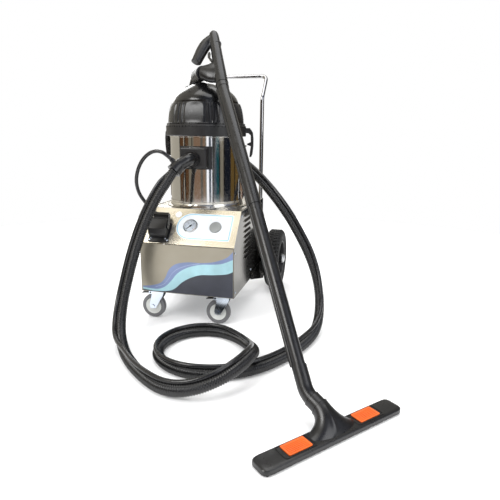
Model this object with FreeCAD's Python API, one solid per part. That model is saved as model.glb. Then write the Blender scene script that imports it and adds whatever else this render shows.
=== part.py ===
import FreeCAD, Part
import math
import os
from FreeCAD import Matrix, Placement, Rotation, Vector

# Steam cleaner with a wet and dry vacuum: a stainless cabinet on wheels, a drum with a
# suction head, a twin hose, and a wand that leans on the head with its floor tool down.
# Millimetres. The design frame has +X to the right seen from the front, +Y to the rear,
# +Z up, the floor at z = 0 and the drum's axis at x = y = 0. Each node is saved shifted by
# ROW_SHIFT, which puts the origin under the middle of the whole object.
ROW_SHIFT = Vector(-284.0, 294.1, 0.0)

X, Y, Z = Vector(1, 0, 0), Vector(0, 1, 0), Vector(0, 0, 1)

# Cabinet: sheet steel with a sloped panel above an upright front.
SHEET = 2.0
CAB_HALF = 219.0                  # half width
CAB_FRONT, CAB_REAR = -298.0, 300.0
CAB_LOW, CAB_BREAK, CAB_TOP = 150.0, 378.0, 520.0
DECK_FRONT = -175.0
LOUVRES, LOUVRE_PITCH, LOUVRE_LOW = 9, 25.0, 284.0
LOUVRE_FRONT, LOUVRE_REAR = -112.0, -6.0

# The sloped panel: its own frame has X across, Y up the slope and Z out of it.
SLOPE = math.degrees(math.atan2(CAB_TOP - CAB_BREAK, DECK_FRONT - CAB_FRONT))
SLOPE_LENGTH = math.hypot(CAB_TOP - CAB_BREAK, DECK_FRONT - CAB_FRONT)
PANEL = Placement(Vector(0, CAB_FRONT, CAB_BREAK), Rotation(X, SLOPE))
GAUGE_X, GAUGE_Y, GAUGE_R = 0.0, 97.0, 33.0
KNOB_X, KNOB_R = 117.0, 27.0
OVERLAY_R, OVERLAY_RIGHT = 67.0, 192.0
FILM = 0.5
SOCKET_LEFT, SOCKET_RIGHT = -174.0, -94.0
LEVER_PIVOT_Y, LEVER_PIVOT_Z = 70.0, 26.0
GLAND_LENGTH = 40.0

# Drum and suction head, all turned about the drum's axis.
DRUM_R, DRUM_WALL = 170.0, 1.5
DRUM_LOW, DRUM_TOP = 526.6, 843.0
BAND_R, BAND_LOW, BAND_TOP = 188.0, 843.6, 893.0
CASING_TOP, DOME_R, DOME_LOW, DOME_TOP = 991.0, 149.5, 991.4, 1085.0
INLET_Z, ELBOW_END = 745.0, Vector(-36.0, -266.0, 720.0)
LATCH_PIVOT_R, LATCH_PIVOT_Z = 201.0, 872.0
LATCH_TURN = 13.0                 # the latches sit this far behind the drum's middle
PIN_R, PIN_BORE_R = 4.0, 4.06

# Rear wheels on one axle.
AXLE_Y, AXLE_R, AXLE_BORE_R = 400.0, 10.0, 10.06
TYRE_R, TYRE_WIDTH, RIM_R = 165.0, 85.0, 103.7
WHEEL_X = 277.5

# Front casters.
CASTER_X, CASTER_Y = 160.0, -228.0
CASTER_R, CASTER_WIDTH, CASTER_TRAIL = 57.0, 26.0, 32.0
CASTER_PIN_R, CASTER_BORE_R = 5.0, 5.06
FORK_TOP, PLATE_LOW, PLATE_TOP = 144.6, 145.2, 149.6
PEDAL_DX, PEDAL_Z = -42.0, 125.0

# Push handle.
HANDLE_HALF, HANDLE_Y, HANDLE_R = 171.0, 455.0, 11.0
HANDLE_LOW, HANDLE_KINK, HANDLE_TOP, HANDLE_LEAN = 186.0, 1055.0, 1178.0, 110.0

# Wand: from the collar under its handle, down the tubes to the bend and the floor tool.
COLLAR = Vector(116.5, -130.0, 1063.4)
TUBE_END = Vector(578.7, -831.6, 146.0)
NECK_TOP = Vector(651.5, -906.4, 65.0)
NECK_CORNER = Vector(609.2, -877.9, 85.5)
HANDLE_TIP = Vector(31.0, 20.0, 1295.0)
HOSE_MOUTH = Vector(13.0, -80.0, 1116.0)
CUFF_END = Vector(-60.0, 45.0, 1115.0)
UPPER_SHARE = 0.475               # the upper tube's share of the straight length
UPPER_R, LOWER_R, LOWER_END_R, TUBE_WALL = 24.5, 22.0, 20.5, 2.5
BEND_R, SLEEVE_R = 24.5, 27.0
CONDUIT_R = 8.0

# Floor tool: its own frame has X along it, Y towards the machine and Z up.
TOOL_AT = Vector(696.0, -947.6, 0.0)
TOOL_TURN = math.degrees(math.atan2(0.733, 0.680))
TOOL_HALF, TOOL_DEPTH = 262.0, 36.0
TAB_X, TAB_LENGTH, TAB_WIDTH = 136.0, 82.0, 46.0

# Cords. The twin hose is one bundle: the suction hose with the steam line along it.
HOSE_R, LINE_R = 28.0, 8.0
HOSE_ROUTE = [
    (-53, -285, 696), (-80, -316, 655), (-116, -342, 592), (-158, -362, 500),
    (-194, -374, 405), (-222, -384, 312), (-242, -399, 222), (-249, -432, 143),
    (-236, -486, 82), (-206, -548, 44), (-160, -614, 29), (-102, -684, 28),
    (-34, -754, 28), (44, -816, 28), (128, -864, 28), (222, -878, 42),
    (310, -844, 70), (366, -770, 93), (386, -676, 93), (376, -580, 64),
    (340, -490, 35), (270, -412, 28), (180, -367, 28), (84, -380, 28),
    (10, -446, 28), (-20, -540, 28), (-2, -634, 28), (66, -706, 28),
    (158, -740, 28), (252, -733, 28), (340, -696, 28), (410, -636, 28),
    (466, -560, 28), (513, -472, 28), (551, -375, 29), (578, -276, 34),
    (588, -182, 62), (582, -104, 126), (558, -50, 212), (516, -14, 306),
    (460, 14, 396), (398, 44, 484), (330, 80, 560), (258, 128, 624),
    (186, 190, 674), (112, 248, 715), (34, 288, 765), (-36, 292, 835),
    (-88, 262, 912), (-114, 208, 984), (-119, 144, 1046), (-98, 90, 1093),
    (-60, 45, 1115),
]
LINE_ROUTE = [
    (-66, -281, 748), (-81, -288, 764), (-106, -290, 779), (-140, -287, 780),
    (-174, -283, 764), (-203, -280, 735), (-224, -277, 697), (-236, -272, 656),
    (-239, -262, 622), (-238, -244, 588), (-228, -226, 558), (-210, -218, 533),
    (-188, -226, 514),
]


# ---- helpers -------------------------------------------------------------------------

def box(x0, x1, y0, y1, z0, z1):
    return Part.makeBox(x1 - x0, y1 - y0, z1 - z0, Vector(x0, y0, z0))


def rod(radius, start, end):
    """Solid cylinder between two points."""
    start, end = Vector(start), Vector(end)
    return Part.makeCylinder(radius, (end - start).Length, start, end - start)


def cone(r_start, r_end, start, end):
    """Solid cone between two points."""
    start, end = Vector(start), Vector(end)
    return Part.makeCone(r_start, r_end, (end - start).Length, start, end - start)


def pipe(r_out, r_in, start, end):
    """Hollow cylinder between two points."""
    start, end = Vector(start), Vector(end)
    reach = (end - start) * (1.0 / (end - start).Length)
    return rod(r_out, start, end).cut(rod(r_in, start - reach, end + reach))


def turned(profile, at=Vector(0, 0, 0), axis=Z):
    """Solid of revolution: profile is (radius, height) points, height along axis."""
    points = [Vector(r, 0, h) for r, h in profile]
    face = Part.Face(Part.makePolygon(points + points[:1]))
    solid = face.revolve(Vector(0, 0, 0), Z, 360)
    return moved(solid, Placement(Vector(at), Rotation(Z, axis)))


def prism(points, low, high, axis):
    """Flat outline pushed from low to high along axis 'x', 'y' or 'z'."""
    lift = {"x": lambda a, b: Vector(low, a, b),
            "y": lambda a, b: Vector(a, low, b),
            "z": lambda a, b: Vector(a, b, low)}[axis]
    push = {"x": X, "y": Y, "z": Z}[axis] * (high - low)
    corners = [lift(a, b) for a, b in points]
    return Part.Face(Part.makePolygon(corners + corners[:1])).extrude(push)


def moved(shape, placement):
    copy = shape.copy()
    copy.Placement = placement.multiply(copy.Placement)
    return copy


def mirrored(shape):
    """The same shape on the other side of the machine."""
    return shape.mirror(Vector(0, 0, 0), X)


def turned_copies(shape, count, step):
    """Copies of a shape set round the drum's axis."""
    return [moved(shape, Placement(Vector(0, 0, 0), Rotation(Z, i * step))) for i in range(count)]


def frame_at(origin, z_dir, x_hint):
    """Placement whose Z runs along z_dir and whose X is as near x_hint as it can be."""
    z = Vector(z_dir).normalize()
    x = Vector(x_hint) - z * Vector(x_hint).dot(z)
    x.normalize()
    y = z.cross(x)
    return Placement(Matrix(x.x, y.x, z.x, origin.x, x.y, y.y, z.y, origin.y,
                            x.z, y.z, z.z, origin.z, 0, 0, 0, 1))


def ellipse_wire(centre, across, along, x_dir, normal):
    curve = Part.Ellipse(Vector(0, 0, 0), across, along)
    wire = Part.Wire([curve.toShape()])
    wire.Placement = frame_at(Vector(centre), normal, x_dir)
    return wire


def rounded(shape, radius, pick):
    """Fillet the edges whose middle point pick() accepts."""
    edges = [e for e in shape.Edges
             if pick(e.valueAt((e.FirstParameter + e.LastParameter) / 2), e)]
    return shape.makeFillet(radius, edges) if edges else shape


def path_wire(points, corner_radius):
    """Straight runs joined by tangent arcs; corner_radius(run, half_turn) sizes each arc."""
    points = [Vector(*p) for p in points]
    edges, radii, start = [], [], points[0]
    for before, corner, after in zip(points, points[1:], points[2:]):
        back, ahead = before - corner, after - corner
        run = min(back.Length, ahead.Length)
        back.normalize()
        ahead.normalize()
        half_turn = (math.pi - back.getAngle(ahead)) / 2
        radius = corner_radius(run, half_turn)
        reach = radius * math.tan(half_turn)
        inward = (back + ahead).normalize()
        middle = corner + inward * (radius / math.cos(half_turn) - radius)
        arc_start, arc_end = corner + back * reach, corner + ahead * reach
        edges.append(Part.LineSegment(start, arc_start).toShape())
        edges.append(Part.Arc(arc_start, middle, arc_end).toShape())
        radii.append(radius)
        start = arc_end
    edges.append(Part.LineSegment(start, points[-1]).toShape())
    return Part.Wire(edges), radii


def sweep(wire, radius):
    first = wire.Edges[0]
    start = first.valueAt(first.FirstParameter)
    ring = Part.Wire([Part.makeCircle(radius, start, first.tangentAt(first.FirstParameter))])
    return wire.makePipeShell([ring], True, False)


def bent_tube(points, r_out, r_in, bend_radius):
    """Metal tube with one bend radius; solid when r_in is 0."""
    wire, _ = path_wire(points, lambda run, half: bend_radius)
    outer = sweep(wire, r_out)
    return outer.cut(sweep(wire, r_in)) if r_in else outer


def cord(name, route, radius):
    """Plain tube of a free cord, with its radii and its volume printed."""
    wire, radii = path_wire(route, lambda run, half: 0.45 * run / math.tan(half))
    tube = sweep(wire, radius)
    section = math.pi * radius ** 2
    print(name, "length %.0f" % wire.Length, "volume ratio %.4f" % (tube.Volume / (section * wire.Length)),
          "smallest radius %.0f" % min(radii), "radii", [round(r) for r in radii])
    return tube


def save(name, *shapes):
    solids = [s for shape in shapes for s in shape.Solids]
    shape = solids[0] if len(solids) == 1 else Part.makeCompound(solids)
    if not shape.isValid():
        print("INVALID", name)
    shape = shape.copy()
    shape.translate(ROW_SHIFT)
    shape.exportStep("parts/%s.step" % name)


# ---- cabinet -------------------------------------------------------------------------

def base_pan():
    reach, front, rear, wall = CAB_HALF - SHEET - 0.3, CAB_FRONT + 2.4, CAB_REAR - 2.4, 1.6
    tray = box(-reach, reach, front, rear, CAB_LOW, CAB_LOW + 30)
    hollow = box(-reach + wall, reach - wall, front + wall, rear - wall, CAB_LOW + wall, CAB_LOW + 31)
    return tray.cut(hollow)


def cabinet_side():
    """Right side sheet with its pressed louvres."""
    sag, slope_sag = SHEET + 0.6, SHEET + 1.7
    outline = [(CAB_FRONT, CAB_LOW), (CAB_FRONT, CAB_BREAK - slope_sag),
               (DECK_FRONT, CAB_TOP - slope_sag), (DECK_FRONT + 2, CAB_TOP - sag),
               (CAB_REAR, CAB_TOP - sag), (CAB_REAR, CAB_LOW)]
    side = prism(outline, CAB_HALF - SHEET, CAB_HALF, "x")
    for i in range(LOUVRES):
        low = LOUVRE_LOW + i * LOUVRE_PITCH
        slot = box(CAB_HALF - 5, CAB_HALF + 5, LOUVRE_FRONT, LOUVRE_REAR, low, low + 7)
        lip = [(CAB_HALF - SHEET, low + 14), (CAB_HALF, low + 14), (CAB_HALF + 6, low + 3),
               (CAB_HALF + 6, low + 1), (CAB_HALF + 4.5, low + 1), (CAB_HALF - SHEET, low + 9)]
        hood = prism(lip, LOUVRE_FRONT, LOUVRE_REAR, "y")
        side = side.cut(slot).fuse(hood)
    return side


def cabinet_shell():
    right = cabinet_side()
    front = box(-CAB_HALF, CAB_HALF, CAB_FRONT, CAB_FRONT + SHEET, CAB_LOW, CAB_BREAK - 2.6)
    rear = box(-CAB_HALF, CAB_HALF, CAB_REAR - SHEET, CAB_REAR, CAB_LOW, CAB_TOP - 2.6)
    return right.fuse([mirrored(right), front, rear]).removeSplitter()


def on_panel(shape):
    return moved(shape, PANEL)


def fascia_panel():
    plate = box(-CAB_HALF, CAB_HALF, 0.8, SLOPE_LENGTH - 1.2, -SHEET, 0)
    holes = [rod(30.5, (GAUGE_X, GAUGE_Y, -9), (GAUGE_X, GAUGE_Y, 9)),
             rod(5.3, (KNOB_X, GAUGE_Y, -9), (KNOB_X, GAUGE_Y, 9)),
             box(SOCKET_LEFT + 8, SOCKET_RIGHT - 8, 36, 100, -9, 9)]
    return on_panel(plate.cut(Part.makeCompound(holes)))


def top_deck():
    """Flat deck with a rolled lip on both sides."""
    plate = box(-CAB_HALF, CAB_HALF, DECK_FRONT + 1.2, CAB_REAR, CAB_TOP - SHEET, CAB_TOP)
    lip = rod(2.4, (CAB_HALF - 2.4, -120, CAB_TOP + 0.6), (CAB_HALF - 2.4, CAB_REAR - 4, CAB_TOP + 0.6))
    return plate.fuse([lip, mirrored(lip)])


def front_graphic():
    """Printed film on the upright front, with a wave for its top edge."""
    wave = [(-213, 176), (-168, 180), (-128, 194), (-103, 219), (-87, 251), (-68, 276), (-39, 292),
            (9, 301), (65, 302), (120, 308), (166, 324), (193, 340), (216, 363)]
    crest = Part.BSplineCurve()
    crest.interpolate([Vector(x, CAB_FRONT - 0.1, z) for x, z in wave])
    left, right = Vector(-213, CAB_FRONT - 0.1, 152), Vector(216, CAB_FRONT - 0.1, 152)
    edges = [crest.toShape(), Part.LineSegment(Vector(216, CAB_FRONT - 0.1, 363), right).toShape(),
             Part.LineSegment(right, left).toShape(),
             Part.LineSegment(left, Vector(-213, CAB_FRONT - 0.1, 176)).toShape()]
    return Part.Face(Part.Wire(edges)).extrude(Y * -FILM)


def panel_overlay():
    low, high = GAUGE_Y - OVERLAY_R, GAUGE_Y + OVERLAY_R
    sheet = box(GAUGE_X, OVERLAY_RIGHT, low, high, 0.1, 0.1 + FILM)
    sheet = rounded(sheet, 9, lambda p, e: p.x > OVERLAY_RIGHT - 1 and abs(p.y - GAUGE_Y) > OVERLAY_R - 1
                    and e.Length < 1)
    sheet = sheet.fuse(rod(OVERLAY_R, (GAUGE_X, GAUGE_Y, 0.1), (GAUGE_X, GAUGE_Y, 0.1 + FILM)))
    holes = [rod(GAUGE_R + 0.4, (GAUGE_X, GAUGE_Y, -1), (GAUGE_X, GAUGE_Y, 2)),
             rod(5.3, (KNOB_X, GAUGE_Y, -1), (KNOB_X, GAUGE_Y, 2))]
    return on_panel(sheet.removeSplitter().cut(Part.makeCompound(holes)))


def gauge_at(shape):
    return on_panel(moved(shape, Placement(Vector(GAUGE_X, GAUGE_Y, 0), Rotation())))


def gauge_case():
    """Can behind the panel with a rolled bezel in front of it."""
    r = GAUGE_R
    return gauge_at(turned([(0, -34), (28, -34), (30, -32), (30, 0.2), (r, 0.2), (r, 6), (r - 1.5, 8),
                            (r - 3.5, 8), (r - 4, 6.6), (r - 4, 1.0), (5, 1.0), (5, -3), (0, -3)]))


def gauge_dial():
    return gauge_at(pipe(GAUGE_R - 4.4, 2.2, (0, 0, 1.3), (0, 0, 1.9)))


def gauge_needle():
    """Pointer at zero, down to the left, on its spindle."""
    hand = prism([(-9, -2.2), (-9, 2.2), (8, 1.6), (24, 0.4), (24, -0.4), (8, -1.6)], 2.9, 3.6, "z")
    needle = hand.fuse([rod(4, (0, 0, 2.6), (0, 0, 4.4)), rod(1.8, (0, 0, -2.5), (0, 0, 4))])
    return gauge_at(moved(needle, Placement(Vector(0, 0, 0), Rotation(Z, 225))))


def gauge_glass():
    return gauge_at(rod(GAUGE_R - 4.4, (0, 0, 5.0), (0, 0, 6.4)))


def selector_knob():
    """Low rotary disc with a thumb groove and its shaft."""
    disc = turned([(0, 1.0), (KNOB_R, 1.0), (KNOB_R, 5), (KNOB_R - 1.5, 6.5), (KNOB_R - 5, 7.2), (0, 7.2)])
    groove = box(-1.3, 1.3, 9, KNOB_R - 4, 6.2, 9)
    knob = disc.cut(groove).fuse(rod(4, (0, 0, -18), (0, 0, 2)))
    return on_panel(moved(knob, Placement(Vector(KNOB_X, GAUGE_Y, 0), Rotation())))


# ---- multi-pole socket and its plug --------------------------------------------------

def socket_housing():
    """Flange on the panel and a hooded body that opens up the slope."""
    flange = box(SOCKET_LEFT - 7, SOCKET_RIGHT + 8, 5, 104, 0.2, 4)
    flange = rounded(flange, 5, lambda p, e: e.Length < 4 and abs(p.z - 2.1) < 0.1)
    side = [(26, 4), (108, 4), (108, 46), (96, 50), (48, 50), (30, 34)]
    body = prism(side, SOCKET_LEFT, SOCKET_RIGHT, "x")
    body = rounded(body, 3, lambda p, e: p.z > 33 and e.Length > 70)
    cavity = box(SOCKET_LEFT + 6, SOCKET_RIGHT - 6, 88, 120, 9, 43)
    pins = [rod(3.7, (SOCKET_LEFT - 3.6, LEVER_PIVOT_Y, LEVER_PIVOT_Z), (SOCKET_LEFT + 1, LEVER_PIVOT_Y, LEVER_PIVOT_Z)),
            rod(3.7, (SOCKET_RIGHT - 1, LEVER_PIVOT_Y, LEVER_PIVOT_Z), (SOCKET_RIGHT + 3.6, LEVER_PIVOT_Y, LEVER_PIVOT_Z))]
    return on_panel(flange.fuse(body).cut(cavity).fuse(pins))


def socket_lever():
    """Locking bail: two arms on the body's pivots and a bar across the plug's front."""
    arm = [(LEVER_PIVOT_Y - 8, LEVER_PIVOT_Z - 8), (LEVER_PIVOT_Y + 8, LEVER_PIVOT_Z - 8),
           (LEVER_PIVOT_Y + 56, 40), (LEVER_PIVOT_Y + 56, 60), (LEVER_PIVOT_Y + 44, 60),
           (LEVER_PIVOT_Y - 8, LEVER_PIVOT_Z + 10)]
    left, right = SOCKET_LEFT - 4.0, SOCKET_RIGHT + 4.0
    arms = [prism(arm, left, left + 3.5, "x"), prism(arm, right - 3.5, right, "x")]
    bar = box(left, right, LEVER_PIVOT_Y + 44, LEVER_PIVOT_Y + 56, 53, 60)
    bores = rod(3.76, (left - 9, LEVER_PIVOT_Y, LEVER_PIVOT_Z), (right + 9, LEVER_PIVOT_Y, LEVER_PIVOT_Z))
    return on_panel(arms[0].fuse([arms[1], bar]).cut(bores))


def line_plug():
    """Plug in the socket; its gland takes the thin steam and control line."""
    body = box(SOCKET_LEFT + 7, SOCKET_RIGHT - 7, 89, 140, 10, 42)
    body = rounded(body, 6, lambda p, e: p.y > 139 or (p.y > 90 and e.Length > 40 and abs(p.x + 134) > 30))
    line_end = PANEL.inverse().multVec(Vector(*LINE_ROUTE[-1]))
    before = PANEL.inverse().multVec(Vector(*LINE_ROUTE[-2]))
    heading = (before - line_end).normalize()
    gland = cone(15, 10.5, line_end - heading * GLAND_LENGTH, line_end)
    return on_panel(body.fuse(gland))


# ---- drum ----------------------------------------------------------------------------

def drum_collar():
    """Polished dished plate on the deck with the ring that centres the drum."""
    plate = turned([(0, 520.4), (196, 520.4), (198, 521.5), (198, 524), (188, 526.2), (0, 526.2)],
                   Vector(0, 22, 0))
    ring = turned([(DRUM_R + 1.2, 526), (DRUM_R + 6, 526), (DRUM_R + 5, 534), (DRUM_R + 3, 540),
                   (DRUM_R + 3, 551), (DRUM_R + 1.2, 551)])
    hole = rod(150, (0, 0, 500), (0, 0, 560))
    return plate.cut(hole).fuse(ring)


def drum():
    """Open stainless tank with a rolled rim, two hoop beads and the inlet hole."""
    r, wall = DRUM_R, DRUM_WALL
    shell = turned([(0, DRUM_LOW), (r, DRUM_LOW), (r, DRUM_TOP - 5), (r + 2.5, DRUM_TOP - 4),
                    (r + 2.5, DRUM_TOP), (r - wall, DRUM_TOP), (r - wall, DRUM_LOW + wall),
                    (0, DRUM_LOW + wall)])
    return shell.cut(rod(26, (0, -140, INLET_Z), (0, -180, INLET_Z)))


def drum_clips():
    """Two over-centre clips that hold the drum in its ring."""
    outline = [(DRUM_R + 4, 553), (DRUM_R + 9, 553), (DRUM_R + 12, 560), (DRUM_R + 12, 640),
               (DRUM_R + 6, 652), (DRUM_R + 0.6, 652), (DRUM_R + 0.6, 600), (DRUM_R + 4, 590)]
    right = prism(outline, -15, 15, "y")
    return right, mirrored(right)


def inlet_box():
    """Moulded housing on the drum that carries the inlet elbow, with its saddle flange."""
    block = box(-58, 65, -203, -150, 706, 796)
    block = rounded(block, 9, lambda p, e: p.y < -202 or (p.y < -160 and abs(e.tangentAt(e.FirstParameter).y) > 0.9))
    saddle = rod(DRUM_R + 8, (0, 0, 699), (0, 0, 800)).common(box(-70, 77, -200, -120, 699, 800))
    block = block.fuse(saddle).cut(rod(DRUM_R + 0.4, (0, 0, 680), (0, 0, 810)))
    ring = pipe(36, 27, (0, -200, INLET_Z), (0, -208, INLET_Z))
    return block.cut(rod(27, (0, -230, INLET_Z), (0, -100, INLET_Z))).fuse(ring)


def inlet_elbow():
    """Short elbow from the housing down to the left, towards the hose."""
    route = [(0, -190, INLET_Z), (0, -238, INLET_Z), ELBOW_END]
    tube = bent_tube(route, 26.6, 22, 28)
    ring = pipe(34, 26.5, (0, -208.4, INLET_Z), (0, -219, INLET_Z))
    heading = (Vector(*HOSE_ROUTE[0]) - ELBOW_END).normalize()
    room = rod(40, ELBOW_END - heading * 0.3, ELBOW_END + heading * 30)
    return tube.fuse(ring).cut(room)


def hose_collar():
    """Cuff on the machine end of the hose, with the nipple of the thin line."""
    cuff = cone(30, 32, ELBOW_END, Vector(*HOSE_ROUTE[0]))
    nipple_end = Vector(*LINE_ROUTE[0])
    heading = (Vector(*LINE_ROUTE[1]) - nipple_end).normalize()
    return cuff.fuse(cone(12, 9.5, nipple_end - heading * 16, nipple_end))


# ---- suction head --------------------------------------------------------------------

def at_latch(shape):
    """Turned about the drum's axis to where the right latch sits."""
    return moved(shape, Placement(Vector(0, 0, 0), Rotation(Z, LATCH_TURN)))


def latch_ear(side):
    """One of the two ears that carry a latch."""
    ear = box(150, LATCH_PIVOT_R + 7, side * 26 - 3, side * 26 + 3, LATCH_PIVOT_Z - 12, LATCH_PIVOT_Z + 11)
    bore = rod(PIN_BORE_R, (LATCH_PIVOT_R, side * 26 - 9, LATCH_PIVOT_Z), (LATCH_PIVOT_R, side * 26 + 9, LATCH_PIVOT_Z))
    return at_latch(ear.cut(bore))


def head_band():
    """Bottom ring of the head, with its motor floor, cooling notches and latch ears."""
    ring = turned([(60, BAND_LOW), (BAND_R - 3, BAND_LOW), (BAND_R, BAND_LOW + 4), (BAND_R, BAND_TOP - 4),
                   (BAND_R - 3, BAND_TOP), (152, BAND_TOP), (152, BAND_LOW + 6), (60, BAND_LOW + 6)])
    notch = box(BAND_R - 4, BAND_R + 2, -2.6, 2.6, BAND_TOP - 10, BAND_TOP - 5)
    ring = ring.cut(Part.makeCompound(turned_copies(notch, 72, 5)))
    ears = [latch_ear(1), latch_ear(-1)]
    ears += [mirrored(e) for e in ears]
    hollow = rod(152, (0, 0, BAND_LOW + 6), (0, 0, BAND_TOP + 1))
    return ring.fuse([e.cut(hollow) for e in ears])


def head_casing():
    """Motor casing with broad flat facets and narrow flutes between them."""
    low = BAND_TOP + 0.4
    casing = turned([(177, low), (177, low + 8), (176, 925), (172, 955), (165, 978), (157, CASING_TOP),
                     (130, CASING_TOP), (130, 984), (150, 972), (160, 950), (165, 925), (166, low)])
    facet = box(173.2, 190, -36, 36, 904, 968)
    flute = box(169, 190, -2.6, 2.6, 901, 974)
    flutes = [moved(flute, Placement(Vector(0, 0, 0), Rotation(Z, a))) for a in (17, 22.5, 28)]
    cutters = turned_copies(Part.makeCompound([facet] + flutes), 8, 45)
    cutters = [moved(c, Placement(Vector(0, 0, 0), Rotation(Z, -87))) for c in cutters]
    return casing.cut(Part.makeCompound(cutters))


def dome_shell(inset):
    """Solid under the dome's curve, smaller by inset all round."""
    curve = [(DOME_R, 999), (144, 1012), (127, 1033), (103, 1052), (79, 1066), (54, 1077), (0, DOME_TOP)]
    crown = Part.BSplineCurve()
    scale = (DOME_R - inset) / DOME_R
    crown.interpolate([Vector(r * scale, 0, z - inset) for r, z in curve])
    low = Vector(0, 0, DOME_LOW - inset)
    foot = Vector(DOME_R - inset, 0, DOME_LOW - inset)
    edges = [Part.LineSegment(low, foot).toShape(),
             Part.LineSegment(foot, Vector(DOME_R - inset, 0, 999 - inset)).toShape(),
             crown.toShape(), Part.LineSegment(Vector(0, 0, DOME_TOP - inset), low).toShape()]
    return Part.Face(Part.Wire(edges)).revolve(Vector(0, 0, 0), Z, 360)


def head_dome():
    lip = turned([(142, DOME_LOW), (DOME_R + 2, DOME_LOW), (DOME_R + 2, DOME_LOW + 3.5), (142, DOME_LOW + 3.5)])
    return dome_shell(0).cut(dome_shell(3.2)).fuse(lip)


def latch_right():
    """Toggle lever with its pivot pin and the nib that pulls the keeper up."""
    outline = [(192.4, 866), (LATCH_PIVOT_R, 880), (212, 877), (221, 862), (224, 835), (224, 800),
               (220, 764), (214, 750), (205, 750), (207, 770), (211, 800), (193.5, 806), (193.5, 812),
               (211, 819), (210, 850)]
    lever = prism(outline, -22.5, 22.5, "y")
    boss = rod(8.4, (LATCH_PIVOT_R, -22.5, LATCH_PIVOT_Z), (LATCH_PIVOT_R, 22.5, LATCH_PIVOT_Z))
    lever = lever.cut(box(180, LATCH_PIVOT_R, -30, 30, 860, 900)).fuse(boss)
    pin = rod(PIN_R, (LATCH_PIVOT_R, -30, LATCH_PIVOT_Z), (LATCH_PIVOT_R, 30, LATCH_PIVOT_Z))
    return at_latch(lever.fuse(pin))


def latch_keepers():
    """Hooks on the drum that the latches pull on."""
    outline = [(DRUM_R + 0.4, 780), (DRUM_R + 0.4, 804), (191, 804), (191, 798), (182, 796), (178, 780)]
    hook = at_latch(prism(outline, -16, 16, "y"))
    return hook, mirrored(hook)


def vacuum_motor():
    """Bypass suction motor with its fan drum below and its cooling cap above."""
    return turned([(0, 850.2), (60, 850.2), (72, 858), (72, 905), (60, 912), (56, 925), (56, 965),
                   (48, 978), (20, 982), (0, 982)])


def filter_cartridge():
    """Pleated filter that hangs under the motor floor."""
    pleats, outer, valley = 36, 98.0, 84.0
    star = []
    for i in range(2 * pleats):
        angle = math.pi * i / pleats
        radius = outer if i % 2 == 0 else valley
        star.append((radius * math.cos(angle), radius * math.sin(angle)))
    media = prism(star, 700, 836, "z")
    caps = [rod(100, (0, 0, 694), (0, 0, 700)), pipe(100, 58, (0, 0, 836), (0, 0, 843))]
    return media.cut(rod(58, (0, 0, 699), (0, 0, 837))).fuse(caps)


# ---- inside the cabinet --------------------------------------------------------------

def steam_boiler():
    """Horizontal pressure vessel with domed ends, heater flange and feet."""
    centre = Vector(-140, 80, 300)
    shell = turned([(0, -14), (60, -8), (84, 6), (92, 24), (92, 236), (84, 254), (60, 268), (0, 274)],
                   centre, X)
    flange = rod(48, centre + X * 262, centre + X * 284)
    feet = [box(x - 12, x + 12, 20, 140, 152, 240) for x in (-100, 60)]
    hot = rod(9, centre + X * 60 + Z * 80, centre + X * 60 + Z * 118)
    return shell.fuse([flange, hot] + feet)


def water_pump():
    """Pulse pump in its bracket."""
    body = rod(24, (-150, -250, 210), (-150, -130, 210))
    bracket = box(-182, -118, -225, -155, 152, 200)
    spouts = [rod(6, (-150, -270, 210), (-150, -248, 210)), rod(6, (-150, -132, 210), (-150, -106, 210))]
    return body.fuse([bracket] + spouts)


def control_box():
    case = box(60, 196, -262, -176, 152, 330)
    case = rounded(case, 5, lambda p, e: e.Length > 150)
    ribs = [box(60 + i * 17, 66 + i * 17, -176, -170, 175, 315) for i in range(8)]
    return case.fuse(ribs)


def power_inlet():
    """Cable gland for the supply lead, through the rear sheet."""
    hexagon = [(12 * math.cos(math.radians(60 * i)) - 120, 12 * math.sin(math.radians(60 * i)) + 210)
               for i in range(6)]
    nut = prism(hexagon, CAB_REAR + 0.3, CAB_REAR + 9, "y")
    neck = cone(10, 7.5, (-120, CAB_REAR + 9, 210), (-120, CAB_REAR + 24, 210))
    bore = rod(4.5, (-120, CAB_REAR - 5, 210), (-120, CAB_REAR + 40, 210))
    return nut.fuse(neck).cut(bore)


def pan_head(at, axis):
    """Screw head with a cross recess."""
    at, axis = Vector(at), Vector(axis)
    head = turned([(0, 0.05), (4.6, 0.05), (4.4, 1.6), (3, 2.8), (0, 3.2)])
    cross = box(-2.6, 2.6, -0.5, 0.5, 1.8, 4).fuse(box(-0.5, 0.5, -2.6, 2.6, 1.8, 4))
    return moved(head.cut(cross), Placement(at, Rotation(Z, axis)))


def cabinet_screws():
    side_spots = [(-164, 496), (-279, 352), (-276, 172), (21, 196)]
    heads = [pan_head((CAB_HALF, y, z), X) for y, z in side_spots]
    heads += [pan_head((-CAB_HALF, y, z), -X) for y, z in side_spots]
    heads += [on_panel(pan_head((x, 16, 4), Z)) for x in (SOCKET_LEFT - 1, SOCKET_RIGHT + 2)]
    return heads


# ---- wheels, casters and push handle -------------------------------------------------

def axle_bracket():
    """Right gusset plate that carries the axle and the handle's foot."""
    outline = [(12, 146), (26, 184), (300, 184), (436, 262), (480, 244), (476, 130), (420, 112), (318, 62)]
    plate = prism(outline, CAB_HALF + 0.7, CAB_HALF + 4.7, "x")
    bores = rod(AXLE_R + 0.4, (CAB_HALF - 5, AXLE_Y, TYRE_R), (CAB_HALF + 9, AXLE_Y, TYRE_R))
    bolt = rod(6, (CAB_HALF + 4.6, 34, 172), (CAB_HALF + 8, 34, 172))
    return plate.cut(bores).fuse(bolt)


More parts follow.
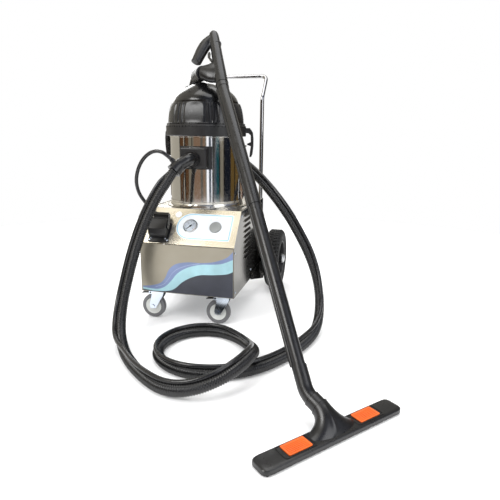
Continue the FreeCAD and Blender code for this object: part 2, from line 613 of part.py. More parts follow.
def rear_axle():
    """Shaft through both wheels with a domed cap nut on each end."""
    shaft = rod(AXLE_R, (-322, AXLE_Y, TYRE_R), (322, AXLE_Y, TYRE_R))
    cap = turned([(0, 317.5), (25, 317.5), (25, 322), (22, 327), (14, 331), (0, 332.5)],
                 Vector(0, AXLE_Y, TYRE_R), X)
    return shaft.fuse([cap, mirrored(cap)])


def wheel_rim(side):
    edge = 34.0
    profile = [(AXLE_BORE_R, -38), (27, -38), (27, -12), (44, -7), (92, -7), (96, -edge), (RIM_R, -edge),
               (RIM_R, edge), (96, edge), (92, -1), (44, -1), (27, 6), (27, 38), (AXLE_BORE_R, 38)]
    return turned(profile, Vector(side * WHEEL_X, AXLE_Y, TYRE_R), X * side)


def wheel_tyre(side):
    half = TYRE_WIDTH / 2
    profile = [(RIM_R + 0.3, -30), (116, -36), (138, -half), (154, -half + 3), (TYRE_R - 2, -half + 12),
               (TYRE_R, -half + 16), (TYRE_R, half - 16), (TYRE_R - 2, half - 12), (154, half - 3),
               (138, half), (116, 36), (RIM_R + 0.3, 30)]
    return turned(profile, Vector(side * WHEEL_X, AXLE_Y, TYRE_R), X * side)


def caster_plate(side):
    x = side * CASTER_X
    plate = box(x - 42, x + 42, CASTER_Y - 34, CASTER_Y + 34, PLATE_LOW, PLATE_TOP)
    return rounded(plate, 8, lambda p, e: e.Length < 6)


def caster_fork(side):
    """Swivel head, two raked legs and the wheel bolt."""
    x, y, pin_x = side * CASTER_X, CASTER_Y, side * CASTER_X - CASTER_TRAIL
    head = turned([(0, 136), (27, 136), (29, 139), (29, 142), (24, FORK_TOP), (0, FORK_TOP)], Vector(x, y, 0))
    crown = box(x - 32, x + 25, y - 19.5, y + 19.5, 131, 136.5)
    leg_outline = [(x - 32, 134), (x + 25, 134), (x + 19, 112), (pin_x + 14, 48), (pin_x - 12, 47),
                   (pin_x - 16, 62)]
    legs = [prism(leg_outline, y + 16.5, y + 19.5, "y"), prism(leg_outline, y - 19.5, y - 16.5, "y")]
    bolt = rod(CASTER_PIN_R, (pin_x, y - 23, CASTER_R), (pin_x, y + 23, CASTER_R))
    heads = [rod(9, (pin_x, y + 19, CASTER_R), (pin_x, y + 23, CASTER_R)),
             rod(9, (pin_x, y - 23, CASTER_R), (pin_x, y - 19, CASTER_R))]
    bore = rod(PIN_BORE_R, (x + PEDAL_DX, y - 30, PEDAL_Z), (x + PEDAL_DX, y + 30, PEDAL_Z))
    lugs = [box(x - 50, x - 30, y + 16.5, y + 19.5, 117, 133), box(x - 50, x - 30, y - 19.5, y - 16.5, 117, 133)]
    return head.fuse([crown, bolt] + legs + heads + lugs).cut(bore)


def caster_wheel(side):
    """Grey tyre on a core whose hub stands proud."""
    half = CASTER_WIDTH / 2
    at = Vector(side * CASTER_X - CASTER_TRAIL, CASTER_Y, CASTER_R)
    profile = [(CASTER_BORE_R, -16), (14, -16), (16, -8), (36, -8), (39, -half), (CASTER_R - 4, -half),
               (CASTER_R, -half + 5), (CASTER_R, half - 5), (CASTER_R - 4, half), (39, half), (36, 8),
               (16, 8), (14, 16), (CASTER_BORE_R, 16)]
    return turned(profile, at, Y)


def brake_pedal(side):
    """Foot pedal on a pin between the fork's legs, with the shoe over the tyre."""
    x, y = side * CASTER_X + PEDAL_DX, CASTER_Y
    outline = [(x + 6, 121.5), (x + 6, 128), (x - 10, 131), (x - 38, 126), (x - 46, 120), (x - 44, 116.5),
               (x - 30, 119), (x - 12, 120)]
    plate = prism(outline, y - 14, y + 14, "y")
    pin = rod(PIN_R, (x, y - 19.5, PEDAL_Z), (x, y + 19.5, PEDAL_Z))
    return plate.fuse(pin)


def push_handle():
    """One bent tube: two uprights, leaned back above the kink, and the grip bar."""
    half, y, top_y = HANDLE_HALF, HANDLE_Y, HANDLE_Y + HANDLE_LEAN
    route = [(-half, y, HANDLE_LOW), (-half, y, HANDLE_KINK), (-half, top_y, HANDLE_TOP),
             (half, top_y, HANDLE_TOP), (half, y, HANDLE_KINK), (half, y, HANDLE_LOW)]
    return bent_tube(route, HANDLE_R, HANDLE_R - 1.5, 32)


def handle_clamp():
    """Right foot block between the bracket plate and the upright."""
    block = box(HANDLE_HALF - 18, CAB_HALF + 0.4, HANDLE_Y - 20, HANDLE_Y + 18, 182, 238)
    block = rounded(block, 4, lambda p, e: p.x < HANDLE_HALF - 17)
    return block.cut(rod(HANDLE_R + 0.15, (HANDLE_HALF, HANDLE_Y, 185), (HANDLE_HALF, HANDLE_Y, 260)))


# ---- wand ----------------------------------------------------------------------------

GRIP = frame_at(COLLAR, HANDLE_TIP - COLLAR, -X)      # X towards the hooked grip, Z up it
GRIP_TOP = 262.0
FLOW = (TUBE_END - COLLAR).normalize()                # down the straight tubes
TUBE_FRAME = frame_at(COLLAR, FLOW, -X)               # X towards the steam conduit
TUBE_LENGTH = (TUBE_END - COLLAR).Length
JOINT_AT = TUBE_LENGTH * UPPER_SHARE


def on_grip(shape):
    return moved(shape, GRIP)


def wand_handle():
    """Limb with a hooked pistol grip and the branch that takes the hose cuff."""
    limb = cone(27.5, 27, (0, 0, -8), (0, 0, 60)).fuse([
        cone(27, 25, (0, 0, 60), (0, 0, 170)), cone(25, 23.5, (0, 0, 170), (0, 0, GRIP_TOP)),
        cone(23.5, 21, (0, 0, GRIP_TOP), (0, 0, 284)), Part.makeSphere(21, Vector(0, 0, 284))])
    stations = [((-2, 266), (0.87, -0.49), 26, 20), ((38, 243), (0.78, -0.63), 29, 20.5),
                ((62, 214), (0.59, -0.81), 28.5, 20.5), ((81, 184), (0.53, -0.85), 26, 20),
                ((99, 154), (0.51, -0.86), 24.2, 19.5)]
    hook = Part.makeLoft([ellipse_wire((q, 0, h), broad, thick, Vector(-dh, 0, dq), Vector(dq, 0, dh))
                          for (q, h), (dq, dh), broad, thick in stations], True)
    mouth = GRIP.inverse().multVec(HOSE_MOUTH)
    away = (mouth - Vector(0, 0, 66)).normalize()
    branch = Part.makeLoft([ellipse_wire((-2, 0, 74), 57, 23, Z, X),
                            ellipse_wire((30, -3, 78), 54, 26, Z, Vector(1, -0.1, 0.1)),
                            ellipse_wire(mouth - away * 0.3, 30.5, 30.4, Z, away)], True)
    bore = rod(24, mouth - away * 50, mouth + away * 5)
    bore_down = rod(21, (0, 0, -15), (0, 0, 60))
    slot = box(14, 50, -7.5, 7.5, 116, 194)
    pivot = rod(PIN_BORE_R, (24, -30, 128), (24, 30, 128))
    ears = box(10, 31, -13, 13, 118, 138)
    handle = on_grip(limb.fuse([hook, branch, ears]).cut(bore.fuse([bore_down, slot, pivot])))
    below_collar = rod(60, COLLAR, COLLAR + FLOW * 60)
    beyond_mouth = rod(36, HOSE_MOUTH, CUFF_END)
    return handle.cut(below_collar.fuse(beyond_mouth))


def steam_trigger():
    """Sprung lever in the limb's slot, pivoted at its lower end."""
    outline = [(17.5, 120.5), (30, 120.5), (33, 132), (42, 158), (40, 177), (34, 186), (28, 186), (31, 172),
               (29, 150), (22, 136)]
    lever = prism(outline, -7, 7, "y")
    pin = rod(PIN_R, (24, -13, 128), (24, 13, 128))
    return on_grip(lever.fuse(pin))


def hose_cuff():
    """Ribbed swivel cuff from the handle's branch to the hose."""
    away = (CUFF_END - HOSE_MOUTH).normalize()
    length = (CUFF_END - HOSE_MOUTH).Length
    profile = [(0, 0.3), (29, 0.3), (30, 3), (30, 16)]
    for i in range(9):
        low = 16 + i * (length - 24) / 9
        profile += [(30, low + 1), (27.5, low + 4), (27.5, low + 8), (30, low + 10)]
    profile += [(29.5, length), (0, length)]
    return turned(profile, HOSE_MOUTH, away)


def wand_upper_tube():
    skin = rod(UPPER_R, (0, 0, 0.4), (0, 0, JOINT_AT + 40))
    conduit = rod(CONDUIT_R, (UPPER_R - 1, 0, 26), (UPPER_R - 1, 0, JOINT_AT + 40))
    bore = rod(UPPER_R - TUBE_WALL, (0, 0, -5), (0, 0, JOINT_AT - 60))
    socket = rod(LOWER_R + 0.3, (0, 0, JOINT_AT - 60.5), (0, 0, JOINT_AT + 45))
    return moved(skin.fuse(conduit).cut(bore.fuse(socket)), TUBE_FRAME)


def wand_lower_tube():
    """Tube that slides into the upper one, with its own conduit below the joint."""
    high = TUBE_LENGTH - 6
    skin = rod(LOWER_R, (0, 0, JOINT_AT - 60), (0, 0, JOINT_AT + 60))
    skin = skin.fuse(cone(LOWER_R, LOWER_END_R + 0.8, (0, 0, JOINT_AT + 60), (0, 0, high)))
    conduit = rod(CONDUIT_R, (LOWER_R - 1, 0, JOINT_AT + 40.4), (LOWER_R - 1, 0, high))
    bore = rod(LOWER_END_R - TUBE_WALL, (0, 0, JOINT_AT - 70), (0, 0, high + 9))
    return moved(skin.fuse(conduit).cut(bore), TUBE_FRAME)


def wand_bend():
    """Bent end piece from the straight tube to the floor tool's neck."""
    start = TUBE_END - FLOW * 5.6
    tube = bent_tube([start, NECK_CORNER, NECK_TOP - NECK_AXIS * 2], BEND_R, BEND_R - TUBE_WALL, 80)
    sleeve = pipe(SLEEVE_R, BEND_R - 0.2, NECK_TOP - NECK_AXIS * 34, NECK_TOP - NECK_AXIS * 2)
    return tube.fuse(sleeve)


# ---- floor tool ----------------------------------------------------------------------

NECK_AXIS = (NECK_TOP - NECK_CORNER).normalize()
TOOL = Placement(TOOL_AT, Rotation(Z, TOOL_TURN))


def on_tool(shape):
    return moved(shape, TOOL)


def floor_tool():
    """Low body with the suction channel under it and the neck that rises to the wand."""
    half, depth = TOOL_HALF, TOOL_DEPTH
    section = [(-depth, 5), (depth, 5), (depth, 14), (depth - 9, 22), (-depth + 9, 22), (-depth, 14)]
    body = prism(section, -half, half, "x")
    body = rounded(body, 3, lambda p, e: e.Length > 400 and p.z > 13)
    channel = box(-half + 14, half - 14, -13, 13, 0, 13)
    top = TOOL.inverse().multVec(NECK_TOP + NECK_AXIS * 0.4)
    axis = TOOL.Rotation.inverted().multVec(NECK_AXIS)
    foot = Vector(0, 6, 19)
    middle = foot + (top - foot) * 0.5 + Vector(0, -6, 2)
    sections = [ellipse_wire(foot, 70, 29, X, Z), ellipse_wire(middle, 42, 27, X, Z * 1.2 - axis),
                ellipse_wire(top, 30, 29.9, X, -axis)]
    neck = Part.makeLoft(sections, True)
    return on_tool(body.cut(channel).fuse(neck))


def tool_tab(side):
    """Ribbed slide that frees the strip insert."""
    plate = box(side * TAB_X - TAB_LENGTH / 2, side * TAB_X + TAB_LENGTH / 2, -22, 24, 22.3, 25)
    plate = rounded(plate, 4, lambda p, e: e.Length < 3)
    ribs = [box(side * TAB_X - TAB_LENGTH / 2 + 6, side * TAB_X + TAB_LENGTH / 2 - 6,
                -16 + 6 * i, -13.4 + 6 * i, 24.8, 26.4) for i in range(6)]
    return on_tool(plate.fuse(ribs))


def tool_strips():
    """Rubber strips that seal the suction channel to the floor."""
    return [on_tool(box(-TOOL_HALF + 4, TOOL_HALF - 4, y - 3.5, y + 3.5, 0, 4.7)) for y in (-28, 28)]


# ---- build ---------------------------------------------------------------------------

def main():
    os.makedirs("parts", exist_ok=True)
    single = [base_pan, cabinet_shell, fascia_panel, top_deck, front_graphic, panel_overlay,
              gauge_case, gauge_dial, gauge_needle, gauge_glass, selector_knob, socket_housing,
              socket_lever, line_plug, drum_collar, drum, inlet_box, inlet_elbow, hose_collar,
              head_band, head_casing, head_dome, latch_right, vacuum_motor, filter_cartridge,
              steam_boiler, water_pump, control_box, power_inlet, rear_axle, push_handle,
              wand_handle, steam_trigger, hose_cuff, wand_upper_tube, wand_lower_tube, wand_bend,
              floor_tool]
    for build in single:
        save(build.__name__, build())
    for build in (drum_clips, latch_keepers, cabinet_screws, tool_strips):
        save(build.__name__, *build())
    save("latch_left", mirrored(latch_right()))
    save("axle_brackets", axle_bracket(), mirrored(axle_bracket()))
    save("handle_clamps", handle_clamp(), mirrored(handle_clamp()))
    save("caster_plates", caster_plate(-1), caster_plate(1))
    for side, word in ((-1, "left"), (1, "right")):
        save("wheel_rim_" + word, wheel_rim(side))
        save("wheel_tyre_" + word, wheel_tyre(side))
        save("caster_fork_" + word, caster_fork(side))
        save("caster_wheel_" + word, caster_wheel(side))
        save("brake_pedal_" + word, brake_pedal(side))
        save("tool_tab_" + word, tool_tab(side))
    save("twin_hose", cord("twin_hose", HOSE_ROUTE, HOSE_R))
    save("steam_line", cord("steam_line", LINE_ROUTE, LINE_R))


main()
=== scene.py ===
import math

import bmesh
import bpy
from mathutils import Matrix, Vector


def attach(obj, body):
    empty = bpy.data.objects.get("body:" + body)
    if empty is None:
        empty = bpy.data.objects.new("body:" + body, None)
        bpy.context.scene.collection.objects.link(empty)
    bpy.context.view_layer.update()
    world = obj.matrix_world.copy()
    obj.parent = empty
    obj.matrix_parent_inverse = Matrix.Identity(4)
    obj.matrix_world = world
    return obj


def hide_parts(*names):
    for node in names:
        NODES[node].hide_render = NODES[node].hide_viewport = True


# Looks of the steam cleaner. Lengths in the tables below are millimetres in the design
# frame of the CAD model (drum axis at x = y = 0); at() turns them into the row frame.
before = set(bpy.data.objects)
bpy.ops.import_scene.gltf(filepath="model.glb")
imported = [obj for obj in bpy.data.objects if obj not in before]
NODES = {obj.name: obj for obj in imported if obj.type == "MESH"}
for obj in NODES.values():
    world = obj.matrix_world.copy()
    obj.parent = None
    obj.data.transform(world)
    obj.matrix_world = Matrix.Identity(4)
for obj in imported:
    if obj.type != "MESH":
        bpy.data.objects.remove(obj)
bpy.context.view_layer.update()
ROOT = "machine"
MM = 0.001
SHIFT = Vector((-0.284, 0.2941, 0.0))
TO_ROW = Matrix.Translation(SHIFT)


def at(x, y, z):
    return Vector((x, y, z)) * MM + SHIFT


# ---- camera ----------------------------------------------------------------------------

CAMERA_AT = Vector((0.7225, -2.1447, 0.8453))
CAMERA_YAW, CAMERA_PITCH, CAMERA_ROLL = 13.19, 13.87, 0.75
LENS_MM, SENSOR_MM = 33.12, 36.0

camera_data = bpy.data.cameras.new("camera")
camera_data.sensor_width = SENSOR_MM
camera_data.lens = LENS_MM
camera = bpy.data.objects.new("camera", camera_data)
bpy.context.scene.collection.objects.link(camera)
camera.matrix_world = (Matrix.Translation(CAMERA_AT + SHIFT)
                       @ Matrix.Rotation(math.radians(CAMERA_YAW), 4, "Z")
                       @ Matrix.Rotation(math.radians(90 - CAMERA_PITCH), 4, "X")
                       @ Matrix.Rotation(math.radians(CAMERA_ROLL), 4, "Z"))
bpy.context.scene.camera = camera


# ---- materials -------------------------------------------------------------------------

class Shader:
    """A Principled material and short ways to hang noise, bands and bumps on it."""

    def __init__(self, name, color, rough, metallic=0.0, **sockets):
        self.material = bpy.data.materials.new(name)
        self.material.use_nodes = True
        self.tree = self.material.node_tree
        self.bsdf = self.tree.nodes["Principled BSDF"]
        self.bsdf.inputs["Base Color"].default_value = (*color, 1.0)
        self.bsdf.inputs["Roughness"].default_value = rough
        self.bsdf.inputs["Metallic"].default_value = metallic
        for key, value in sockets.items():
            self.bsdf.inputs[key.replace("_", " ")].default_value = value
        self.coords = self.node("ShaderNodeTexCoord").outputs["Object"]
        self.bump_chain = None

    def node(self, kind, **values):
        made = self.tree.nodes.new(kind)
        for key, value in values.items():
            setattr(made, key, value)
        return made

    def link(self, source, target):
        self.tree.links.new(source, target)

    def scaled(self, scale):
        mapping = self.node("ShaderNodeMapping")
        mapping.inputs["Scale"].default_value = scale
        self.link(self.coords, mapping.inputs["Vector"])
        return mapping.outputs["Vector"]

    def noise(self, scale, detail=3.0, stretch=(1, 1, 1), rough=0.5):
        made = self.node("ShaderNodeTexNoise")
        made.inputs["Scale"].default_value = scale
        made.inputs["Detail"].default_value = detail
        made.inputs["Roughness"].default_value = rough
        self.link(self.scaled(stretch), made.inputs["Vector"])
        return made.outputs["Fac"]

    def ramp(self, source, stops):
        made = self.node("ShaderNodeValToRGB")
        elements = made.color_ramp.elements
        while len(elements) < len(stops):
            elements.new(0.5)
        for element, (place, color) in zip(elements, stops):
            element.position = place
            element.color = (*color, 1.0) if len(color) == 3 else color
        self.link(source, made.inputs["Fac"])
        return made.outputs["Color"]

    def spread(self, source, low, high, out_low, out_high):
        made = self.node("ShaderNodeMapRange")
        for key, value in (("From Min", low), ("From Max", high), ("To Min", out_low), ("To Max", out_high)):
            made.inputs[key].default_value = value
        self.link(source, made.inputs["Value"])
        return made.outputs["Result"]

    def tint(self, source, dark, light, low=0.35, high=0.65):
        """Base colour that wanders between two near colours."""
        self.link(self.ramp(source, [(low, dark), (high, light)]), self.bsdf.inputs["Base Color"])
        return self

    def rough(self, source, low, high):
        self.link(self.spread(source, 0.3, 0.7, low, high), self.bsdf.inputs["Roughness"])
        return self

    def bump(self, source, strength, distance):
        made = self.node("ShaderNodeBump")
        made.inputs["Strength"].default_value = strength
        made.inputs["Distance"].default_value = distance
        self.link(source, made.inputs["Height"])
        if self.bump_chain:
            self.link(self.bump_chain, made.inputs["Normal"])
        self.bump_chain = made.outputs["Normal"]
        self.link(self.bump_chain, self.bsdf.inputs["Normal"])
        return self


def shade(color, factor):
    return tuple(min(1.0, c * factor) for c in color)


def moulded(name, color, rough, grain=900.0, depth=0.00012, strength=0.35, **sockets):
    """Moulded plastic or rubber: fine grain, faint handling marks and a little dust."""
    made = Shader(name, color, rough, **sockets)
    cloud = made.noise(9.0, 5.0)
    made.tint(cloud, shade(color, 0.86), shade(color, 1.16))
    made.rough(made.noise(26.0, 6.0, rough=0.65), rough - 0.06, rough + 0.08)
    made.bump(made.noise(grain, 2.0), strength, depth)
    return made.material


def brushed(name, color, rough, along, **sockets):
    """Sheet steel with a fine directional grain and soft smudges."""
    made = Shader(name, color, rough, metallic=1.0, **sockets)
    stretch = tuple(0.012 if axis == along else 1.0 for axis in "xyz")
    streaks = made.noise(1500.0, 3.0, stretch)
    made.tint(streaks, shade(color, 0.93), shade(color, 1.05))
    made.rough(made.noise(7.0, 6.0, rough=0.6), rough - 0.05, rough + 0.07)
    made.bump(streaks, 0.10, 0.00005)
    return made.material


def polished(name, color, rough, wave=0.0006, scale=3.0, strength=0.25):
    """Bright metal: slightly uneven, with faint wiped marks."""
    made = Shader(name, color, rough, metallic=1.0)
    made.tint(made.noise(5.0, 2.0), shade(color, 0.95), shade(color, 1.03))
    made.rough(made.noise(40.0, 5.0, rough=0.7), max(rough - 0.02, 0.02), rough + 0.05)
    made.bump(made.noise(scale, 1.0), strength, wave)
    return made.material


# ---- mesh helpers ----------------------------------------------------------------------

def new_object(name, data, material, body=ROOT):
    made = bpy.data.objects.new(name, data)
    bpy.context.scene.collection.objects.link(made)
    if material:
        data.materials.append(material)
    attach(made, body)
    return made


def mesh_from(name, points, faces, smooth=True):
    mesh = bpy.data.meshes.new(name)
    mesh.from_pydata([tuple(p) for p in points], [], faces)
    bm = bmesh.new()
    bm.from_mesh(mesh)
    bmesh.ops.recalc_face_normals(bm, faces=bm.faces)
    bm.to_mesh(mesh)
    bm.free()
    mesh.polygons.foreach_set("use_smooth", [smooth] * len(mesh.polygons))
    return mesh


def grid_faces(rings, around, capped=True):
    """Faces of a stack of rings: capped at both ends, or with its last ring joined to its first."""
    faces = []
    for i in range(rings - 1 if capped else rings):
        for j in range(around):
            k, above = (j + 1) % around, (i + 1) % rings
            faces.append((i * around + j, i * around + k, above * around + k, above * around + j))
    if capped:
        faces.append(tuple(range(around)))
        faces.append(tuple((rings - 1) * around + j for j in range(around)))
    return faces


def ribbon_faces(n):
    """Faces between four open lines of n points: upper and lower of a back, then of a front."""
    faces = []
    for j in range(n - 1):
        k = j + 1
        faces += [(j, k, n + k, n + j), (2 * n + j, 3 * n + j, 3 * n + k, 2 * n + k),
                  (j, 2 * n + j, 2 * n + k, k), (n + j, n + k, 3 * n + k, 3 * n + j)]
    return faces


def border_faces(n):
    """Faces of a raised border: outer and inner outline of n points at its foot, then at its top."""
    faces = []
    for j in range(n):
        k = (j + 1) % n
        faces += [(j, k, 2 * n + k, 2 * n + j), (n + j, 3 * n + j, 3 * n + k, n + k),
                  (2 * n + j, 2 * n + k, 3 * n + k, 3 * n + j), (j, n + j, n + k, k)]
    return faces


def smooth_line(points, steps=8):
    """Catmull-Rom curve through points of any number of values."""
    out = []
    for i in range(len(points) - 1):
        a, b = points[max(i - 1, 0)], points[i]
        c, d = points[i + 1], points[min(i + 2, len(points) - 1)]
        for s in range(steps):
            t = s / steps
            out.append(tuple(0.5 * (2 * b[k] + (c[k] - a[k]) * t
                                    + (2 * a[k] - 5 * b[k] + 4 * c[k] - d[k]) * t * t
                                    + (3 * b[k] - a[k] - 3 * c[k] + d[k]) * t ** 3) for k in range(len(b))))
    out.append(points[-1])
    return out


def sharpen(mesh, degrees=35.0):
    """Smooth shading with hard edges where two faces meet at more than this angle."""
    mesh.polygons.foreach_set("use_smooth", [True] * len(mesh.polygons))
    bm = bmesh.new()
    bm.from_mesh(mesh)
    limit = math.radians(degrees)
    for edge in bm.edges:
        edge.smooth = len(edge.link_faces) == 2 and edge.calc_face_angle(0.0) < limit
    bm.to_mesh(mesh)
    bm.free()
    return mesh


def baked(made):
    """Replace an object's mesh by what its modifiers make of it."""
    bpy.context.view_layer.update()
    final = bpy.data.meshes.new_from_object(made.evaluated_get(bpy.context.evaluated_depsgraph_get()))
    made.modifiers.clear()
    made.data = final
    return made


def revolved(name, profile, material, body=ROOT, steps=96, frame_matrix=None, radius_at=None, degrees=35.0):
    """Closed solid of revolution about the frame's Z; profile is (radius, height) in mm."""
    points = []
    for r, h in profile:
        for j in range(steps):
            turn = math.tau * j / steps
            real = radius_at(r, h, turn) if radius_at else r
            points.append(Vector((real * math.cos(turn), real * math.sin(turn), h)) * MM)
    mesh = mesh_from(name, points, grid_faces(len(profile), steps, capped=False))
    mesh.transform(frame_matrix or TO_ROW)
    return new_object(name, sharpen(mesh, degrees), material, body)


def prism_mesh(name, outline, low, high, matrix, material, body=ROOT, bevel=0.0, segments=2):
    """Flat outline in mm pushed along Z of the matrix, with bevelled edges."""
    count = len(outline)
    points = [Vector((x, y, z)) * MM for z in (low, high) for x, y in outline]
    made = new_object(name, sharpen(mesh_from(name, points, grid_faces(2, count))), material, body)
    if bevel:
        cut = made.modifiers.new("bevel", "BEVEL")
        cut.width, cut.segments, cut.limit_method = bevel * MM, segments, "ANGLE"
        cut.angle_limit = math.radians(28)
        baked(made)
    made.data.transform(matrix)
    sharpen(made.data)
    return made


def placed(origin, z_axis, x_hint):
    """Row-frame matrix with Z along z_axis and X as near x_hint as it can be."""
    z = Vector(z_axis).normalized()
    x = Vector(x_hint)
    x = (x - z * x.dot(z)).normalized()
    y = z.cross(x)
    turn = Matrix((x, y, z)).transposed().to_4x4()
    return Matrix.Translation(at(*origin)) @ turn


def rounded_rectangle(x0, x1, y0, y1, radius, steps=6):
    points = []
    for cx, cy, start in ((x1 - radius, y1 - radius, 0), (x0 + radius, y1 - radius, 90),
                          (x0 + radius, y0 + radius, 180), (x1 - radius, y0 + radius, 270)):
        for i in range(steps + 1):
            turn = math.radians(start + 90 * i / steps)
            points.append((cx + radius * math.cos(turn), cy + radius * math.sin(turn)))
    return points


# ---- cords -----------------------------------------------------------------------------

HOSE_D, LINE_D = 0.056, 0.016
HOSE_ROUTE = [
    (-53, -285, 696), (-80, -316, 655), (-116, -342, 592), (-158, -362, 500),
    (-194, -374, 405), (-222, -384, 312), (-242, -399, 222), (-249, -432, 143),
    (-236, -486, 82), (-206, -548, 44), (-160, -614, 29), (-102, -684, 28),
    (-34, -754, 28), (44, -816, 28), (128, -864, 28), (222, -878, 42),
    (310, -844, 70), (366, -770, 93), (386, -676, 93), (376, -580, 64),
    (340, -490, 35), (270, -412, 28), (180, -367, 28), (84, -380, 28),
    (10, -446, 28), (-20, -540, 28), (-2, -634, 28), (66, -706, 28),
    (158, -740, 28), (252, -733, 28), (340, -696, 28), (410, -636, 28),
    (466, -560, 28), (513, -472, 28), (551, -375, 29), (578, -276, 34),
    (588, -182, 62), (582, -104, 126), (558, -50, 212), (516, -14, 306),
    (460, 14, 396), (398, 44, 484), (330, 80, 560), (258, 128, 624),
    (186, 190, 674), (112, 248, 715), (34, 288, 765), (-36, 292, 835),
    (-88, 262, 912), (-114, 208, 984), (-119, 144, 1046), (-98, 90, 1093),
    (-60, 45, 1115),
]
LINE_ROUTE = [
    (-66, -281, 748), (-81, -288, 764), (-106, -290, 779), (-140, -287, 780),
    (-174, -283, 764), (-203, -280, 735), (-224, -277, 697), (-236, -272, 656),
    (-239, -262, 622), (-238, -244, 588), (-228, -226, 558), (-210, -218, 533),
    (-188, -226, 514),
]


def nurbs(name, route, bevel=0.0):
    """Smooth curve whose control points are the route's points."""
    curve = bpy.data.curves.new(name, "CURVE")
    curve.dimensions = "3D"
    curve.resolution_u = 12
    spline = curve.splines.new("NURBS")
    spline.points.add(len(route) - 1)
    for point, place in zip(spline.points, route):
        point.co = (*at(*place), 1.0)
    spline.order_u = 3
    spline.use_endpoint_u = True
    curve.bevel_depth = bevel
    curve.bevel_resolution = 6
    curve.use_fill_caps = True
    return curve


def line_of(route):
    """Points along the route's own NURBS spline."""
    carrier = bpy.data.objects.new("carrier", nurbs("carrier", route))
    bpy.context.scene.collection.objects.link(carrier)
    bpy.context.view_layer.update()
    mesh = bpy.data.meshes.new_from_object(carrier.evaluated_get(bpy.context.evaluated_depsgraph_get()))
    points = [v.co.copy() for v in mesh.vertices]
    bpy.data.objects.remove(carrier)
    return points


def evenly(points, step):
    """The same line with its points a fixed step apart."""
    out, left = [points[0].copy()], step
    for a, b in zip(points, points[1:]):
        span = (b - a).length
        while span and left <= span:
            a = a.lerp(b, left / span)
            out.append(a.copy())
            span -= left
            left = step
        left -= span
    out.append(points[-1].copy())
    return out


def carried_frames(points):
    """Tangent and two side vectors at each point, carried along without spin."""
    tangents = []
    for i in range(len(points)):
        tangents.append((points[min(i + 1, len(points) - 1)] - points[max(i - 1, 0)]).normalized())
    side = tangents[0].orthogonal().normalized()
    frames = []
    for tangent in tangents:
        side = (side - tangent * side.dot(tangent)).normalized()
        frames.append((tangent, side, tangent.cross(side)))
    return frames


def twist_to(frames, keys):
    """Angle at each point so that a side vector meets each key's direction; keys are (share, vector)."""
    marks, previous = [], None
    for share, wanted in keys:
        i = min(int(share * (len(frames) - 1)), len(frames) - 1)
        _, u, v = frames[i]
        turn = math.atan2(Vector(wanted).dot(v), Vector(wanted).dot(u))
        if previous is not None:
            turn += math.tau * round((previous - turn) / math.tau)
        previous = turn
        marks.append((i, turn))
    angles = []
    for i in range(len(frames)):
        before = max((m for m in marks if m[0] <= i), default=marks[0])
        after = min((m for m in marks if m[0] >= i), default=marks[-1])
        t = 0.0 if before[0] == after[0] else (i - before[0]) / (after[0] - before[0])
        t = t * t * (3 - 2 * t)
        angles.append(before[1] + (after[1] - before[1]) * t)
    return angles


def tube_along(name, centres, frames, radii, material, around=20, body=ROOT):
    points = []
    for centre, (_, u, v), radius in zip(centres, frames, radii):
        for j in range(around):
            turn = math.tau * j / around
            points.append(centre + (u * math.cos(turn) + v * math.sin(turn)) * radius)
    mesh = mesh_from(name, points, grid_faces(len(centres), around))
    return new_object(name, mesh, material, body)


RIB_PITCH, RIB_STEPS = 0.0086, 4
RIB_R, RIB_DEPTH, SMOOTH_R = 0.0200, 0.0040, 0.0090
RIB_OFFSET, SMOOTH_OFFSET, CUFF_OFFSET = -0.0072, 0.0192, 0.008
# Which way the smooth steam hose lies beside the ribbed one, along the bundle.
BUNDLE_LIE = [(0.0, (-.95, -.2, .2)), (0.07, (-.96, -.25, 0)), (0.14, (-.93, -.3, .2)),
              (0.2, (-.5, .2, .84)), (0.27, (-.2, .4, .9)), (0.33, (-.35, .1, .93)),
              (0.38, (-.5, .1, .86)), (0.43, (-.3, .35, .89)), (0.49, (-.5, .2, .85)),
              (0.56, (-.1, .45, .89)), (0.63, (-.3, .3, .9)), (0.7, (.2, -.1, .97)),
              (0.76, (.85, -.4, .3)), (0.84, (.7, -.5, .5)), (0.92, (-.3, -.3, .9)), (1.0, (.2, -.5, .8))]


def build_hose(rib_material, smooth_material):
    line = line_of(HOSE_ROUTE)
    centres = evenly(line, RIB_PITCH / RIB_STEPS)
    frames = carried_frames(centres)
    lie = []
    for (_, u, v), turn in zip(frames, twist_to(frames, BUNDLE_LIE)):
        lie.append(u * math.cos(turn) + v * math.sin(turn))
    last = len(centres) - 1
    # Both hoses come together into the cuffs at the two ends.
    share = [min(1.0, min(i, last - i) * RIB_PITCH / RIB_STEPS / 0.07) for i in range(last + 1)]
    radii = [RIB_R + (0.0, 0.5, 0.0, -0.5)[i % RIB_STEPS] * RIB_DEPTH for i in range(last + 1)]
    ribbed = tube_along("hose_ribbed", [c + d * RIB_OFFSET * s for c, d, s in zip(centres, lie, share)],
                        frames, radii, rib_material, around=22)
    beside = []
    for centre, side, apart in zip(centres, lie, share):
        beside.append(centre + side * (CUFF_OFFSET + (SMOOTH_OFFSET - CUFF_OFFSET) * apart))
    thin = slice(0, last + 1, 4)
    smooth = tube_along("hose_smooth", beside[thin], frames[thin], [SMOOTH_R] * len(centres[thin]),
                        smooth_material, around=18)
    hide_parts("twin_hose")
    return ribbed, smooth


def build_line(material):
    line = new_object("thin_line", nurbs("thin_line", LINE_ROUTE, LINE_D / 2), material)
    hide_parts("steam_line")
    return line


hose_rib_material = moulded("hose_rib", (0.006, 0.006, 0.0065), 0.24, grain=1400.0, depth=0.00003)
hose_smooth_material = moulded("hose_smooth", (0.007, 0.007, 0.008), 0.26, grain=1800.0, depth=0.00003)
build_hose(hose_rib_material, hose_smooth_material)
build_line(hose_smooth_material)


# ---- materials of the CAD nodes ---------------------------------------------------------

